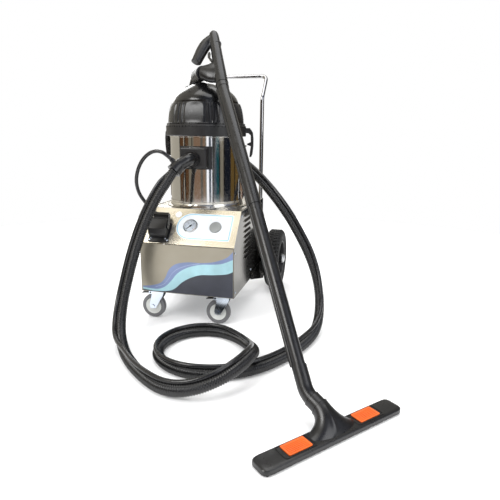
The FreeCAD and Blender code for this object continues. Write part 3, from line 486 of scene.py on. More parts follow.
BLACK = (0.0045, 0.0045, 0.0052)
plastic = moulded("plastic", BLACK, 0.42)
plastic_satin = moulded("plastic_satin", BLACK, 0.29, grain=1500.0, depth=0.00004)
plastic_gloss = moulded("plastic_gloss", (0.004, 0.004, 0.0045), 0.18, grain=1600.0, depth=0.00002)
plastic_grey = moulded("plastic_grey", (0.20, 0.21, 0.205), 0.5)
orange = moulded("orange", (0.66, 0.105, 0.010), 0.42)
strip_rubber = moulded("strip_rubber", (0.02, 0.02, 0.02), 0.7)
tyre_rubber = moulded("tyre_rubber", (0.007, 0.007, 0.007), 0.72, grain=500.0, depth=0.0003, strength=0.5)
caster_rubber = moulded("caster_rubber", (0.115, 0.115, 0.12), 0.55)
caster_core = moulded("caster_core", (0.52, 0.53, 0.51), 0.45)
paper = moulded("paper", (0.62, 0.58, 0.50), 0.85, grain=350.0, depth=0.0004, strength=0.6)
paint_grey = moulded("paint_grey", (0.17, 0.18, 0.19), 0.5)
brass = polished("brass", (0.60, 0.42, 0.17), 0.28)
chrome = polished("chrome", (0.66, 0.66, 0.66), 0.07)
# The push handle's chrome has half the gauge case's colour: painted shade that dims its reflections.
handle_chrome_painted_shade = polished("handle_chrome_painted_shade", (0.34, 0.34, 0.35), 0.09)
zinc = polished("zinc", (0.60, 0.66, 0.74), 0.16, wave=0.001, scale=9.0, strength=0.4)
galvanised = brushed("galvanised", (0.52, 0.53, 0.54), 0.42, "x")
deck_steel = brushed("deck_steel", (0.62, 0.60, 0.55), 0.20, "x")
fascia_steel = brushed("fascia_steel", (0.86, 0.80, 0.67), 0.27, "x")
drum_steel = polished("drum_steel", (0.56, 0.55, 0.53), 0.075, wave=0.0016, scale=2.2, strength=0.35)
boiler_steel = brushed("boiler_steel", (0.60, 0.60, 0.58), 0.35, "z")


# Distances from the middle plane, in metres, between which the side sheets begin.
SIDE_FROM, SIDE_TO = 0.2165, 0.2172


def shell_material():
    """Satin front and rear sheets, and side sheets polished bright with a colour about a third of the
    front's: painted shade on the sides.
    """
    made = Shader("shell_steel", (0.60, 0.58, 0.54), 0.34, metallic=1.0)
    split = made.node("ShaderNodeSeparateXYZ")
    made.link(made.coords, split.inputs["Vector"])
    offset = made.node("ShaderNodeMath", operation="ADD")
    offset.inputs[1].default_value = -SHIFT.x
    made.link(split.outputs["X"], offset.inputs[0])
    reach = made.node("ShaderNodeMath", operation="ABSOLUTE")
    made.link(offset.outputs[0], reach.inputs[0])
    is_side = made.spread(reach.outputs[0], SIDE_FROM, SIDE_TO, 0.0, 1.0)
    mix = made.node("ShaderNodeMix", data_type="RGBA")
    made.link(is_side, mix.inputs["Factor"])
    front = made.ramp(made.noise(5.0, 4.0), [(0.35, (0.300, 0.276, 0.222)), (0.65, (0.335, 0.31, 0.255))])
    # Painted shade: the side sheets' colour is about a third of the front's.
    side = made.ramp(made.noise(4.0, 3.0), [(0.35, (0.070, 0.064, 0.050)), (0.65, (0.115, 0.106, 0.086))])
    made.link(front, mix.inputs["A"])
    made.link(side, mix.inputs["B"])
    made.link(mix.outputs["Result"], made.bsdf.inputs["Base Color"])
    made.link(made.spread(is_side, 0.0, 1.0, 0.36, 0.13), made.bsdf.inputs["Roughness"])
    made.bump(made.noise(2.5, 1.0), 0.2, 0.0012)
    made.bump(made.noise(1500.0, 2.0, (0.012, 0.012, 1.0)), 0.06, 0.00004)
    return made.material


shell_steel = shell_material()
overlay_film = moulded("overlay_film", (0.66, 0.69, 0.72), 0.4, grain=700.0, depth=0.00003)

glass = Shader("gauge_glass", (0.96, 0.98, 1.0), 0.03, Transmission_Weight=1.0, IOR=1.2)
glass.rough(glass.noise(30.0), 0.01, 0.06)

CAD_LOOKS = {
    galvanised: ["base_pan", "caster_plates", "vacuum_motor", "rear_axle"],
    shell_steel: ["cabinet_shell", "axle_brackets"],
    fascia_steel: ["fascia_panel"],
    deck_steel: ["top_deck", "drum_collar"],
    drum_steel: ["drum", "drum_clips", "latch_keepers"],
    chrome: ["gauge_case"],
    handle_chrome_painted_shade: ["push_handle"],
    zinc: ["caster_fork_left", "caster_fork_right", "cabinet_screws"],
    plastic: ["inlet_box", "socket_housing", "handle_clamps", "power_inlet", "head_band", "line_plug",
              "wheel_rim_left", "wheel_rim_right"],
    plastic_satin: ["head_casing", "wand_upper_tube", "wand_lower_tube", "wand_bend", "wand_handle",
                    "floor_tool", "hose_cuff", "hose_collar", "inlet_elbow", "latch_left", "latch_right"],
    plastic_gloss: ["head_dome", "gauge_needle", "socket_lever", "brake_pedal_left", "brake_pedal_right",
                    "steam_trigger"],
    plastic_grey: ["selector_knob"],
    orange: ["tool_tab_left", "tool_tab_right"],
    strip_rubber: ["tool_strips"],
    tyre_rubber: ["wheel_tyre_left", "wheel_tyre_right"],
    caster_rubber: ["caster_wheel_left", "caster_wheel_right"],
    paper: ["filter_cartridge"],
    paint_grey: ["control_box"],
    brass: ["water_pump"],
    boiler_steel: ["steam_boiler"],
    overlay_film: ["panel_overlay", "front_graphic", "gauge_dial"],
    glass.material: ["gauge_glass"],
}
for look, names in CAD_LOOKS.items():
    for node_name in names:
        slots = NODES[node_name].material_slots
        if not slots:
            NODES[node_name].data.materials.append(look)
        for slot in slots:
            slot.material = look


# ---- wand handle -----------------------------------------------------------------------

COLLAR = Vector((116.5, -130.0, 1063.4))
GRIP_X = Vector((-.9552, -.1609, -.2484))
GRIP_Y = Vector((0, -.8393, .5436))
GRIP_Z = Vector((-.2960, .5192, .8017))
TUBE_END = Vector((578.7, -831.6, 146.0))
CUFF_AXIS = Vector((-73, 125, -1))
CUFF_START = Vector((13, -80, 1116)) + CUFF_AXIS.normalized() * 3


def on_grip(q, w, h):
    return at(*(COLLAR + GRIP_X * q + GRIP_Y * w + GRIP_Z * h))


def limb_mesh(stations, around=32):
    """Closed tube through (q, w, h, radius in the grip's plane, radius across it) stations."""
    fine = smooth_line(stations, 5)
    centres = [on_grip(*f[:3]) for f in fine]
    points = []
    for i, (centre, f) in enumerate(zip(centres, fine)):
        along = (centres[min(i + 1, len(centres) - 1)] - centres[max(i - 1, 0)]).normalized()
        v = (GRIP_Y - along * along.dot(GRIP_Y)).normalized()
        u = v.cross(along)
        for j in range(around):
            turn = math.tau * j / around
            points.append(centre + (u * math.cos(turn) * f[3] + v * math.sin(turn) * f[4]) * MM)
    return points, grid_faces(len(centres), around)


def joined(name, parts, material, body, voxel, smooth_steps, end_plane):
    """One skin round several closed shapes, softened where they meet and cut flat at a plane."""
    points, faces = [], []
    for part_points, part_faces in parts:
        base = len(points)
        points += part_points
        faces += [tuple(base + i for i in face) for face in part_faces]
    made = new_object(name, mesh_from(name, points, faces), material, body)
    skin = made.modifiers.new("skin", "REMESH")
    skin.mode, skin.voxel_size = "VOXEL", voxel
    soft = made.modifiers.new("soft", "SMOOTH")
    soft.factor, soft.iterations = 0.6, smooth_steps
    baked(made)
    place, normal = end_plane
    bm = bmesh.new()
    bm.from_mesh(made.data)
    cut = bmesh.ops.bisect_plane(bm, geom=bm.verts[:] + bm.edges[:] + bm.faces[:], plane_co=place,
                                 plane_no=normal, clear_inner=True)
    edges = [e for e in cut["geom_cut"] if isinstance(e, bmesh.types.BMEdge)]
    bmesh.ops.edgeloop_fill(bm, edges=edges)
    bm.to_mesh(made.data)
    bm.free()
    if not made.data.materials:
        made.data.materials.append(material)
    sharpen(made.data, 40.0)
    return made


FLOW = (TUBE_END - COLLAR).normalized()
limb = limb_mesh([(0, 0, -12, 27.4, 27.4), (0, 0, 30, 27.2, 27.2), (0, 0, 80, 26.4, 26),
                  (0, 0, 130, 25.2, 25), (0, 0, 180, 24.6, 24.4), (0, 0, 225, 24, 23.6),
                  (0, 0, 262, 23.4, 22.5), (0, 0, 284, 21, 20.5), (0, 0, 296, 15.5, 15), (0, 0, 303, 7, 7)])
hook = limb_mesh([(-2, 0, 266, 26, 20), (38, 0, 243, 29, 20.5), (62, 0, 214, 28.5, 20.5),
                  (81, 0, 184, 26, 20), (99, 0, 154, 24.2, 19.5)])
branch = limb_mesh([(-2, 0, 74, 57, 23), (30, -3, 78, 54, 26), (56, -8, 88, 42, 28.5),
                    (77.7, -13.4, 98.8, 30.5, 30)])
handle = joined("wand_grip", [limb, hook, branch], plastic_satin, ROOT, 0.0022, 6, (at(*COLLAR), -FLOW))
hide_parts("wand_handle")


def ring_piece(name, place, axis, r_in, r_out, length, material, body=ROOT, steps=64):
    """Short turned ring, centred at a place, with softened edges."""
    half, edge = length / 2, min(length, r_out - r_in) * 0.3
    profile = [(r_in, -half), (r_out - edge, -half), (r_out, -half + edge), (r_out, half - edge),
               (r_out - edge, half), (r_in, half)]
    return revolved(name, profile, material, body, steps, placed(place, axis, (1, 0.1, 0.2)))


# Seams of the wand: at the collar, round the grip's cap and where the hose cuff begins.
for name, place, axis, r_in, r_out, length, look in (
        ("seam_collar", COLLAR, FLOW, 23, 28.3, 3.2, plastic_gloss),
        ("seam_cap", (57.1, -14.9, 1238.4), GRIP_Z + GRIP_X * 0.45, 20, 24.9, 1.4, plastic_gloss),
        ("seam_cuff", CUFF_START, CUFF_AXIS, 26, 31.2, 3.0, plastic_satin),
        ("collar_sleeve", COLLAR + FLOW * 14, FLOW, 24, 26.2, 24, plastic_satin)):
    ring_piece(name, tuple(place), axis, r_in, r_out, length, look)


# ---- floor tool ------------------------------------------------------------------------

TOOL_TURN = math.degrees(math.atan2(0.733, 0.680))
TOOL = Matrix.Translation(at(696.0, -947.6, 0)) @ Matrix.Rotation(math.radians(TOOL_TURN), 4, "Z")
NECK_TOP = Vector((651.5, -906.4, 65.0))
NECK_AXIS = (NECK_TOP - Vector((609.2, -877.9, 85.5))).normalized()
# The neck's radius and flare, and the crest down its front: heading in degrees, width and height.
NECK_R, FLARE_ACROSS, FLARE_ALONG = 29.6, 60, 4.5
CREST_AT, CREST_WIDTH, CREST_HIGH = 262, 9, 4.0
# The slot of each orange slide, and the border round it.
SLOT_X, SLOT_Y, BORDER_Y, BORDER = (86, 188), (-23.5, 25.5), (-27.5, 28.5), 5


def tool_body():
    """Low bar with a chamfered front, tapering a little towards its rounded ends."""
    section = [(-36, 5), (-36, 17), (-34.5, 19.5), (-31, 21), (-24, 22), (26, 22), (31, 21),
               (34, 18), (36, 14), (36, 5), (33, 5), (33, 3.5), (-33, 3.5), (-33, 5)]
    ends = [(268, .50, .72), (267, .68, .82), (264, .82, .90), (259, .92, .96), (251, .98, .99), (240, 1, 1)]
    stations = [(-x, wide, high) for x, wide, high in ends] + [(x, 1, 1) for x in (-100, 0, 100)] + ends[::-1]
    points = []
    for x, wide, high in stations:
        for y, z in section:
            points.append(Vector((x, y * wide, z if z < 6 else 5 + (z - 5) * high)) * MM)
    mesh = mesh_from("tool_bar", points, grid_faces(len(stations), len(section)))
    mesh.transform(TOOL)
    return new_object("tool_bar", sharpen(mesh, 24), plastic_satin, "tool")


def tool_neck():
    """Neck that flares from the wand's ring into the bar, with a crest down its front."""
    inverse = TOOL.inverted()
    top = inverse @ at(*(NECK_TOP + NECK_AXIS * 0.4)) * 1000
    axis = (inverse.to_3x3() @ NECK_AXIS).normalized()
    foot, elbow = Vector((0, 5, 20.5)), Vector((0, 24, 47))
    points, rings, around = [], 26, 72
    for i in range(rings):
        t = i / (rings - 1)
        flare = (1 - t) ** 2.2
        centre = foot * (1 - t) ** 2 + elbow * 2 * t * (1 - t) + top * t * t
        across, along = NECK_R + FLARE_ACROSS * flare, NECK_R + FLARE_ALONG * (1 - t) ** 1.6
        normal = (Vector((0, 0, 1)) * (1 - t) - axis * t).normalized()
        x = (Vector((1, 0, 0)) - normal * normal.x).normalized()
        y = normal.cross(x)
        for j in range(around):
            turn = math.tau * j / around
            off_crest = (math.degrees(turn) - CREST_AT) / CREST_WIDTH
            crest = math.exp(-off_crest ** 2) * CREST_HIGH * math.sin(math.pi * min(1, t * 1.15)) ** 0.8
            points.append((centre + x * math.cos(turn) * across + y * math.sin(turn) * (along + crest)) * MM)
    mesh = mesh_from("tool_neck", points, grid_faces(rings, around))
    mesh.transform(TOOL)
    return new_object("tool_neck", sharpen(mesh, 50), plastic_satin, "tool")


ring_piece("seam_neck", tuple(NECK_TOP - NECK_AXIS * 0.3), NECK_AXIS, 26, 30.6, 1.6, plastic_gloss, "tool")
ring_piece("sleeve_edge", tuple(NECK_TOP - NECK_AXIS * 33), NECK_AXIS, 24, 27.8, 2.0, plastic_gloss)
bar = tool_body()
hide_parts("floor_tool")
neck = tool_neck()
for side in (-1, 1):
    # Raised border round each orange slide.
    near, far = sorted(side * x for x in SLOT_X)
    frame_outline = rounded_rectangle(near - BORDER, far + BORDER, *BORDER_Y, 7)
    hole = rounded_rectangle(near, far, *SLOT_Y, 5)
    rim = []
    for z in (21.9, 23.2):
        rim += [Vector((x, y, z)) * MM for x, y in frame_outline]
        rim += [Vector((x, y, z)) * MM for x, y in hole]
    rim_mesh = mesh_from("tool_rim", rim, border_faces(len(frame_outline)))
    rim_mesh.transform(TOOL)
    new_object("tool_rim_%s" % ("left" if side < 0 else "right"), sharpen(rim_mesh), plastic_satin, "tool")


# ---- suction head ----------------------------------------------------------------------

def casing_radius(r, h, turn):
    """Flat facet at the front, narrow flutes beside it, and broad panels between channels."""
    if r < 120:
        return r
    from_front = (math.degrees(turn) + 90 + 180) % 360 - 180
    away = abs(from_front)
    fade = min(1.0, max(0.0, (h - 897) / 8), max(0.0, (988 - h) / 6))
    if away < 14:
        return r - (r - r * math.cos(math.radians(14)) / math.cos(math.radians(from_front))) * fade
    depth = 0.0
    for centre, width, deep in ((17.5, 2.6, 5.5), (25, 3.0, 5.0), (34, 3.4, 5.0), (62, 3.0, 4.0),
                                (90, 3.0, 4.0), (118, 3.0, 4.0), (146, 3.0, 4.0), (180, 6.0, 5.0)):
        gap = abs(away - centre) / width
        if gap < 1:
            depth = max(depth, deep * (1 - gap ** 4))
    return r - depth * fade


casing_profile = [(174, 893.6), (177, 895), (177, 898), (176.8, 904), (176, 916), (174.6, 930),
                  (172.6, 944), (170, 958), (166.8, 970), (163.4, 980), (160.5, 986), (158, 990),
                  (153, 990.8), (148, 990.8), (148, 986), (160, 905), (160, 893.6)]
casing = revolved("head_shell", casing_profile, plastic_satin, ROOT, 360, None, casing_radius, 28)
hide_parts("head_casing")

# Dark seam under the dome.
ring_piece("dome_seam", (0, 0, 990.9), (0, 0, 1), 144, 151.0, 1.4, plastic_gloss, steps=160)


def vent_radius(r, h, turn):
    """Two rows of small notches round the ring between the casing and the band."""
    in_row = 894.6 < h < 896.8 or 898.2 < h < 900.4
    return r - 4.5 if in_row and math.degrees(turn) % 5 < 3.2 else r


vents_profile = [(176, 893.2), (183.5, 893.2), (183.5, 894.5), (183.5, 894.7), (183.5, 896.7),
                 (183.5, 896.9), (183.2, 898.1), (183.2, 898.3), (183.2, 900.3), (183.2, 900.5),
                 (182, 901.6), (176, 901.6)]
revolved("band_vents", vents_profile, plastic_satin, ROOT, 432, None, vent_radius, 30)
# Small moulded mark on the dome's shoulder.
mark = placed((-52, -112, 1056), (-.36, -.62, .70), (1, 0, 0))
prism_mesh("dome_mark", rounded_rectangle(-9, 9, -2, 2, 1.9), -1.5, 0.8, mark, plastic_gloss, bevel=0.4)


# ---- front graphic ---------------------------------------------------------------------

FRONT_Y, FILM_LOW = -298.0, 152
# Upper edges of the three films, as (x, z) along the upright front.
TOP_WAVE = [(-213, 174), (-190, 176), (-168, 180), (-128, 193), (-103, 219), (-87, 253), (-68, 276),
            (-39, 292), (9, 301), (65, 302), (120, 309), (166, 324), (193, 339), (215, 363)]
CYAN_WAVE = [(-213, 168), (-179, 165), (-139, 165), (-104, 179), (-74, 208), (-40, 248), (8, 277),
             (65, 294), (120, 299), (166, 306), (215, 327)]
DARK_WAVE = [(-213, 160), (-154, 154.5), (-90, 160), (-56, 174), (-22, 205), (17, 229), (64, 246),
             (120, 251), (165, 256), (193, 262), (215, 273)]


def film(name, wave, low, depth_from, depth_to, material):
    """Strip between a wave and a straight lower edge, on the upright front."""
    line = smooth_line(wave)
    n = len(line)
    points = []
    for depth in (depth_from, depth_to):
        points += [at(x, FRONT_Y - depth, z) for x, z in line]
        points += [at(x, FRONT_Y - depth, low) for x, z in line]
    faces = ribbon_faces(n)
    faces += [(0, n, 3 * n, 2 * n), (n - 1, 3 * n - 1, 4 * n - 1, 2 * n - 1)]
    return new_object(name, mesh_from(name, points, faces, False), material)


film_blue = moulded("film_blue", (0.155, 0.20, 0.345), 0.32, grain=900.0, depth=0.00002)
film_cyan = moulded("film_cyan", (0.30, 0.50, 0.55), 0.32, grain=900.0, depth=0.00002)
film_dark = moulded("film_dark", (0.034, 0.037, 0.050), 0.34, grain=900.0, depth=0.00002)
film_pale = moulded("film_pale", (0.33, 0.39, 0.55), 0.32, grain=900.0, depth=0.00002)
blue = film("film_blue", TOP_WAVE, FILM_LOW, 0.10, 0.30, film_blue)
film("film_cyan", CYAN_WAVE, FILM_LOW, 0.25, 0.42, film_cyan)
film("film_dark", DARK_WAVE, FILM_LOW, 0.38, 0.55, film_dark)
PALE_LINE = [(-150, 174), (-112, 189), (-88, 214), (-66, 246), (-38, 268), (6, 286), (62, 299)]
PALE_HALF = 0.9
line = smooth_line(PALE_LINE)
pale_points = []
for depth in (0.2, 0.36):
    pale_points += [at(x, FRONT_Y - depth, z + PALE_HALF) for x, z in line]
    pale_points += [at(x, FRONT_Y - depth, z - PALE_HALF) for x, z in line]
new_object("film_pale", mesh_from("film_pale", pale_points, ribbon_faces(len(line)), False), film_pale)
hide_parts("front_graphic")


# ---- control panel ---------------------------------------------------------------------

PANEL_SLOPE, GAUGE_Y = 49.1, 97.0
PANEL = Matrix.Translation(at(0, FRONT_Y, 378)) @ Matrix.Rotation(math.radians(PANEL_SLOPE), 4, "X")


def on_panel(x=0.0, y=0.0, z=0.0):
    return PANEL @ Matrix.Translation(Vector((x, y, z)) * MM)


def outline_band(name, outline, width, low, high, matrix, material, body=ROOT):
    """Thin raised line that follows a closed outline, inset by its width."""
    n = len(outline)
    middle = Vector((sum(p[0] for p in outline) / n, sum(p[1] for p in outline) / n))
    inner = []
    for j in range(n):
        before, here, after = (Vector(outline[(j + d) % n]) for d in (-1, 0, 1))
        along = (after - before).normalized()
        normal = Vector((-along.y, along.x))
        if normal.dot(middle - here) < 0:
            normal = -normal
        inner.append(here + normal * width)
    points = []
    for z in (low, high):
        points += [Vector((x, y, z)) * MM for x, y in outline] + [Vector((p.x, p.y, z)) * MM for p in inner]
    mesh = mesh_from(name, points, border_faces(n), False)
    mesh.transform(matrix)
    return new_object(name, mesh, material, body)


OVERLAY_R, OVERLAY_END = 63, 188
square_end = rounded_rectangle(0, OVERLAY_END, GAUGE_Y - OVERLAY_R, GAUGE_Y + OVERLAY_R, 8)
overlay_outline = [(x, y) for x, y in square_end if x > 100]
round_end = []
for degrees in range(90, 271, 6):
    turn = math.radians(degrees)
    round_end.append((OVERLAY_R * math.cos(turn), GAUGE_Y + OVERLAY_R * math.sin(turn)))
half = len(overlay_outline) // 2
stadium = overlay_outline[:half] + round_end + overlay_outline[half:]
line_blue = moulded("line_blue", (0.10, 0.42, 0.58), 0.4, grain=900.0, depth=0.00002)
outline_band("overlay_line", stadium, 3.0, 0.5, 0.9, PANEL, line_blue)
icon_ink = moulded("icon_ink", (0.34, 0.55, 0.66), 0.45, grain=900.0, depth=0.00002)
for i, (x, y) in enumerate(((88, 135), (114, 146), (140, 136), (84, 60), (142, 61))):
    # Generic level marks round the knob: a row of bars that grows with the setting.
    for bar_no in range(3):
        high = 2.0 + bar_no * (1.2 if i % 2 else 1.8)
        left = x - 4 + bar_no * 3
        level_bar = rounded_rectangle(left, x - 2.4 + bar_no * 3, y - 3, y - 3 + high, 0.5, 2)
        prism_mesh("icon_%d_%d" % (i, bar_no), level_bar, 0.5, 0.85, PANEL, icon_ink)

# Gauge face: divisions and numbers over 270 degrees.
dial_ink = moulded("dial_ink", (0.02, 0.02, 0.02), 0.5, grain=900.0, depth=0.00002)
dial_red = moulded("dial_red", (0.6, 0.03, 0.02), 0.5, grain=900.0, depth=0.00002)
DIAL_FACE, NUMBERS_R = 1.9, 16
for i in range(31):
    angle = math.radians(225 - 9 * i)
    long = i % 5 == 0
    r0, r1, half_width = (20.5 if long else 23.0), 26.5, (0.5 if long else 0.25)
    matrix = on_panel(0, GAUGE_Y, 0) @ Matrix.Rotation(angle, 4, "Z")
    prism_mesh("tick_%d" % i, [(r0, -half_width), (r1, -half_width), (r1, half_width), (r0, half_width)],
               DIAL_FACE, DIAL_FACE + 0.25, matrix, dial_red if i > 25 else dial_ink)
for i in range(0, 7, 2):
    angle = math.radians(225 - 45 * i)
    letters = bpy.data.curves.new("dial_number_%d" % i, "FONT")
    letters.body, letters.size, letters.extrude = str(i * 2), 0.0062, 0.0001
    letters.align_x, letters.align_y = "CENTER", "CENTER"
    number = new_object("dial_number_%d" % i, letters, dial_ink)
    number.matrix_world = on_panel(NUMBERS_R * math.cos(angle), GAUGE_Y + NUMBERS_R * math.sin(angle),
                                   DIAL_FACE + 0.12)

# Round pale plug button and screws of the socket's flange.
white_film = moulded("white_film", (0.80, 0.80, 0.79), 0.45, grain=900.0, depth=0.00003)
revolved("round_label", [(0.01, 0.1), (15, 0.1), (15.5, 0.4), (15, 0.7), (0.01, 0.7)], white_film, ROOT, 48,
         on_panel(-70, 155, 0))


def screw(name, matrix, r, body=ROOT, look=None):
    """Pan head with a cross recess, the recess drawn as painted shade: a black cross standing on the head."""
    profile = [(0.01, 0), (r, 0), (r, r * 0.25), (r * 0.8, r * 0.55), (r * 0.45, r * 0.72), (0.01, r * 0.76)]
    head = revolved(name, profile, look or zinc, body, 24, matrix)
    for k, turn in enumerate((0, 90)):
        # Painted shade: a dark cross stands on the head where the recess's shadow would be.
        slot = [(-r * .5, -r * .1), (r * .5, -r * .1), (r * .5, r * .1), (-r * .5, r * .1)]
        prism_mesh("%s_slot%d" % (name, k), slot, r * 0.60, r * 0.80,
                   matrix @ Matrix.Rotation(math.radians(turn), 4, "Z"), dial_ink, body)
    return head


for i, (x, y) in enumerate(((-170, 24), (-103, 25), (-170, 96), (-98, 96))):
    screw("flange_screw_%d" % i, on_panel(x, y, 4.0), 4.2, look=zinc)


# ---- wheels ----------------------------------------------------------------------------

AXLE = (277.5, 400.0, 165.0)


def rear_tyre(side, body):
    """Fat tyre with two rows of staggered lugs, shoulder ribs and a plain side wall."""
    outer, rim_r, half, around = 165.0, 104.0, 42.5, 288
    section = [(rim_r, -30), (111, -35), (122, -40), (134, -half), (146, -half + 1), (154, -half + 4),
               (160, -half + 9), (163.5, -half + 13)]
    lug_rows = (4.2, 8, 12, 16, 20, 24, 28)
    tread = [(outer - 0.2, h) for h in (*(-r for r in reversed(lug_rows)), -3.8, 3.8, *lug_rows)]
    profile = section + tread + [(r, -h) for r, h in reversed(section)]
    points = []
    for r, h in profile:
        for j in range(around):
            degrees = 360.0 * j / around
            depth = 0.0
            if r > 158:
                slant = degrees + (h * 0.10 if h > 0 else -h * 0.10 + 3.75)
                in_lug = (slant % 7.5) < 5.0
                depth = 0.0 if in_lug else 6.0
                if abs(h) < 4:
                    depth = 4.5
            elif r > 140:
                depth = 0.0 if (degrees + (0 if h > 0 else 3.75)) % 7.5 < 5.0 else 2.4
            turn = math.radians(degrees)
            points.append(Vector(((r - depth) * math.cos(turn), (r - depth) * math.sin(turn), h)) * MM)
    mesh = mesh_from("tyre", points, grid_faces(len(profile), around, capped=False))
    mesh.transform(placed((side * AXLE[0], AXLE[1], AXLE[2]), (side, 0, 0), (0, 0, 1)))
    return new_object("tyre_" + body[-1], sharpen(mesh, 30), tyre_rubber, body)


for side, word in ((-1, "left"), (1, "right")):
    body = "wheel_" + word[0]
    rubber = rear_tyre(side, body)
    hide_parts("wheel_tyre_" + word)
    face = placed((side * (AXLE[0] + 33.0), AXLE[1], AXLE[2]), (side, 0, 0), (0, 0, 1))
    bead = [(94, -2), (103.2, -2), (103.4, 1.6), (101, 3.2), (96, 3.0), (94, 0)]
    revolved("rim_bead_" + word[0], bead, plastic, body, 128, face)
    for i in range(8):
        spoke = face @ Matrix.Rotation(math.radians(45 * i), 4, "Z")
        prism_mesh("rim_rib_%s%d" % (word[0], i), [(30, -2.5), (92, -4), (92, 4), (30, 2.5)], -38, -24, spoke,
                   plastic, body, bevel=1.0)


# ---- casters ---------------------------------------------------------------------------

CASTER_X, CASTER_Y, CASTER_R, CASTER_TRAIL = 160.0, -228.0, 57.0, 32.0
caster_tread = [(40.5, -12), (44, -13), (52, -13), (55.6, -11.2), (57, -7),
                (57, 7), (55.6, 11.2), (52, 13), (44, 13), (40.5, 12)]
caster_seam = [(38.5, -10.5), (41.2, -10.5), (41.2, 10.5), (38.5, 10.5)]
caster_disc = [(5.06, -16), (9, -16), (13, -15), (15, -11), (18, -9.4), (30, -8.6), (36, -9.6),
               (39, -11.6), (39.4, 0), (39, 11.6), (36, 9.6), (30, 8.6), (18, 9.4), (15, 11),
               (13, 15), (9, 16), (5.06, 16)]
for side, word in ((-1, "left"), (1, "right")):
    body = "castor_" + word[0]
    hub = placed((side * CASTER_X - CASTER_TRAIL, CASTER_Y, CASTER_R), (0, 1, 0), (0, 0, 1))
    disc = revolved("caster_disc_" + word[0], caster_disc, caster_core, body, 96, hub)
    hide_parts("caster_wheel_" + word)
    revolved("caster_seam_" + word[0], caster_seam, dial_ink, body, 96, hub)
    tread = revolved("caster_tread_" + word[0], caster_tread, caster_rubber, body, 96, hub)


# ---- stage -----------------------------------------------------------------------------

def area_light(name, place, target, size, power, color=(1, 1, 1)):
    lamp = bpy.data.lights.new(name, "AREA")
    lamp.shape, lamp.size, lamp.energy, lamp.color = "SQUARE", size, power, color
    made = bpy.data.objects.new(name, lamp)
    bpy.context.scene.collection.objects.link(made)
    made.location = place
    made.rotation_euler = (Vector(target) - Vector(place)).to_track_quat("-Z", "Y").to_euler()
    return made


area_light("key", (-1.9, -2.6, 2.9), (0, -0.1, 0.5), 1.8, 95)
area_light("fill", (2.9, -1.8, 2.0), (0, 0, 0.5), 2.4, 55)
area_light("top", (0.2, 0.4, 3.6), (0, 0, 0), 2.6, 60)
area_light("rim", (-1.6, 2.9, 2.1), (0, 0, 0.6), 1.8, 45)

# Colours seen in the polished steel.
CREAM, SAND, TAN, BROWN = (0.62, 0.58, 0.49), (0.30, 0.27, 0.21), (0.33, 0.21, 0.14), (0.14, 0.07, 0.032)
WHITE, GREY, SLATE, NAVY = (1.7, 1.75, 1.9), (0.16, 0.15, 0.13), (0.10, 0.13, 0.17), (0.010, 0.013, 0.022)
TEAL, GOLD, INK = (0.0, 0.08, 0.10), (0.16, 0.10, 0.03), (0.008, 0.008, 0.009)
WARM, COOL, DIM = (0.92, 0.86, 0.73), (0.28, 0.32, 0.44), (0.50, 0.48, 0.43)


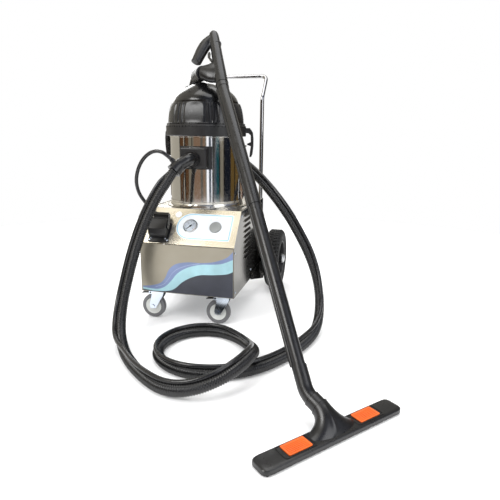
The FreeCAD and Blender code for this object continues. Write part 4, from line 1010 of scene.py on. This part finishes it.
def studio_world():
    """White backdrop and light; in reflections, the bands of a room with a bright ceiling."""
    world = bpy.data.worlds.new("studio")
    bpy.context.scene.world = world
    world.use_nodes = True
    tree = world.node_tree
    made, link = tree.nodes.new, tree.links.new
    split = made("ShaderNodeSeparateXYZ")
    link(made("ShaderNodeTexCoord").outputs["Generated"], split.inputs["Vector"])
    azimuth = made("ShaderNodeMath")
    azimuth.operation = "ARCTAN2"
    link(split.outputs["Y"], azimuth.inputs[0])
    link(split.outputs["X"], azimuth.inputs[1])
    share = made("ShaderNodeMapRange")
    share.inputs["From Min"].default_value, share.inputs["From Max"].default_value = -math.pi, math.pi
    link(azimuth.outputs[0], share.inputs["Value"])

    def bands(stops, interpolation):
        ramp = made("ShaderNodeValToRGB")
        ramp.color_ramp.interpolation = interpolation
        elements = ramp.color_ramp.elements
        while len(elements) < len(stops):
            elements.new(0.5)
        for element, (degrees, color) in zip(elements, stops):
            element.position = (degrees + 180) / 360
            element.color = (*color, 1.0)
        link(share.outputs["Result"], ramp.inputs["Fac"])
        return ramp.outputs["Color"]

    room = bands([(-180, CREAM), (-166, INK), (-164, BROWN), (-150, CREAM), (-147, INK), (-143, BROWN),
                  (-131, SAND), (-120, INK), (-117, SAND), (-113, TAN), (-90, GREY), (-84, TAN),
                  (-77, SAND), (-73, WHITE), (-66, SLATE), (-58, WHITE), (-55, SLATE), (-42, TEAL),
                  (-33, INK), (-29, SAND), (-17, INK), (-12, NAVY), (10, GOLD), (28, INK), (32, GOLD),
                  (52, INK), (70, NAVY), (84, CREAM), (96, INK), (101, CREAM)], "CONSTANT")
    ceiling = bands([(-180, WARM), (-125, WARM), (-105, GREY), (-60, COOL), (0, COOL), (40, GREY),
                     (80, DIM), (130, DIM), (179, WARM)], "LINEAR")
    height = made("ShaderNodeMapRange")
    height.inputs["From Min"].default_value, height.inputs["From Max"].default_value = 0.04, 0.22
    link(split.outputs["Z"], height.inputs["Value"])
    mirrored = made("ShaderNodeMix")
    mirrored.data_type = "RGBA"
    link(height.outputs["Result"], mirrored.inputs["Factor"])
    link(room, mirrored.inputs["A"])
    link(ceiling, mirrored.inputs["B"])
    in_mirror = made("ShaderNodeBackground")
    link(mirrored.outputs["Result"], in_mirror.inputs["Color"])
    backdrop = tree.nodes["Background"]
    backdrop.inputs["Color"].default_value = (1.0, 1.0, 1.0, 1.0)
    both = made("ShaderNodeMixShader")
    link(made("ShaderNodeLightPath").outputs["Is Glossy Ray"], both.inputs["Fac"])
    link(backdrop.outputs["Background"], both.inputs[1])
    link(in_mirror.outputs["Background"], both.inputs[2])
    link(both.outputs["Shader"], tree.nodes["World Output"].inputs["Surface"])


studio_world()
bpy.context.scene.view_settings.view_transform = "Standard"

FLOOR_R, FLOOR_SIDES = 3.4, 64
floor_material = Shader("floor", (0.92, 0.92, 0.92), 0.7)
floor_material.rough(floor_material.noise(3.0), 0.65, 0.8)
floor_edge = []
for i in range(FLOOR_SIDES):
    turn = math.tau * i / FLOOR_SIDES
    floor_edge.append((FLOOR_R * math.cos(turn), FLOOR_R * math.sin(turn), 0))
floor_mesh = mesh_from("floor", floor_edge, [tuple(range(FLOOR_SIDES))], False)
floor_mesh.transform(Matrix.Translation((0, -0.3, -0.0008)))
floor = bpy.data.objects.new("floor", floor_mesh)
floor_mesh.materials.append(floor_material.material)
bpy.context.scene.collection.objects.link(floor)
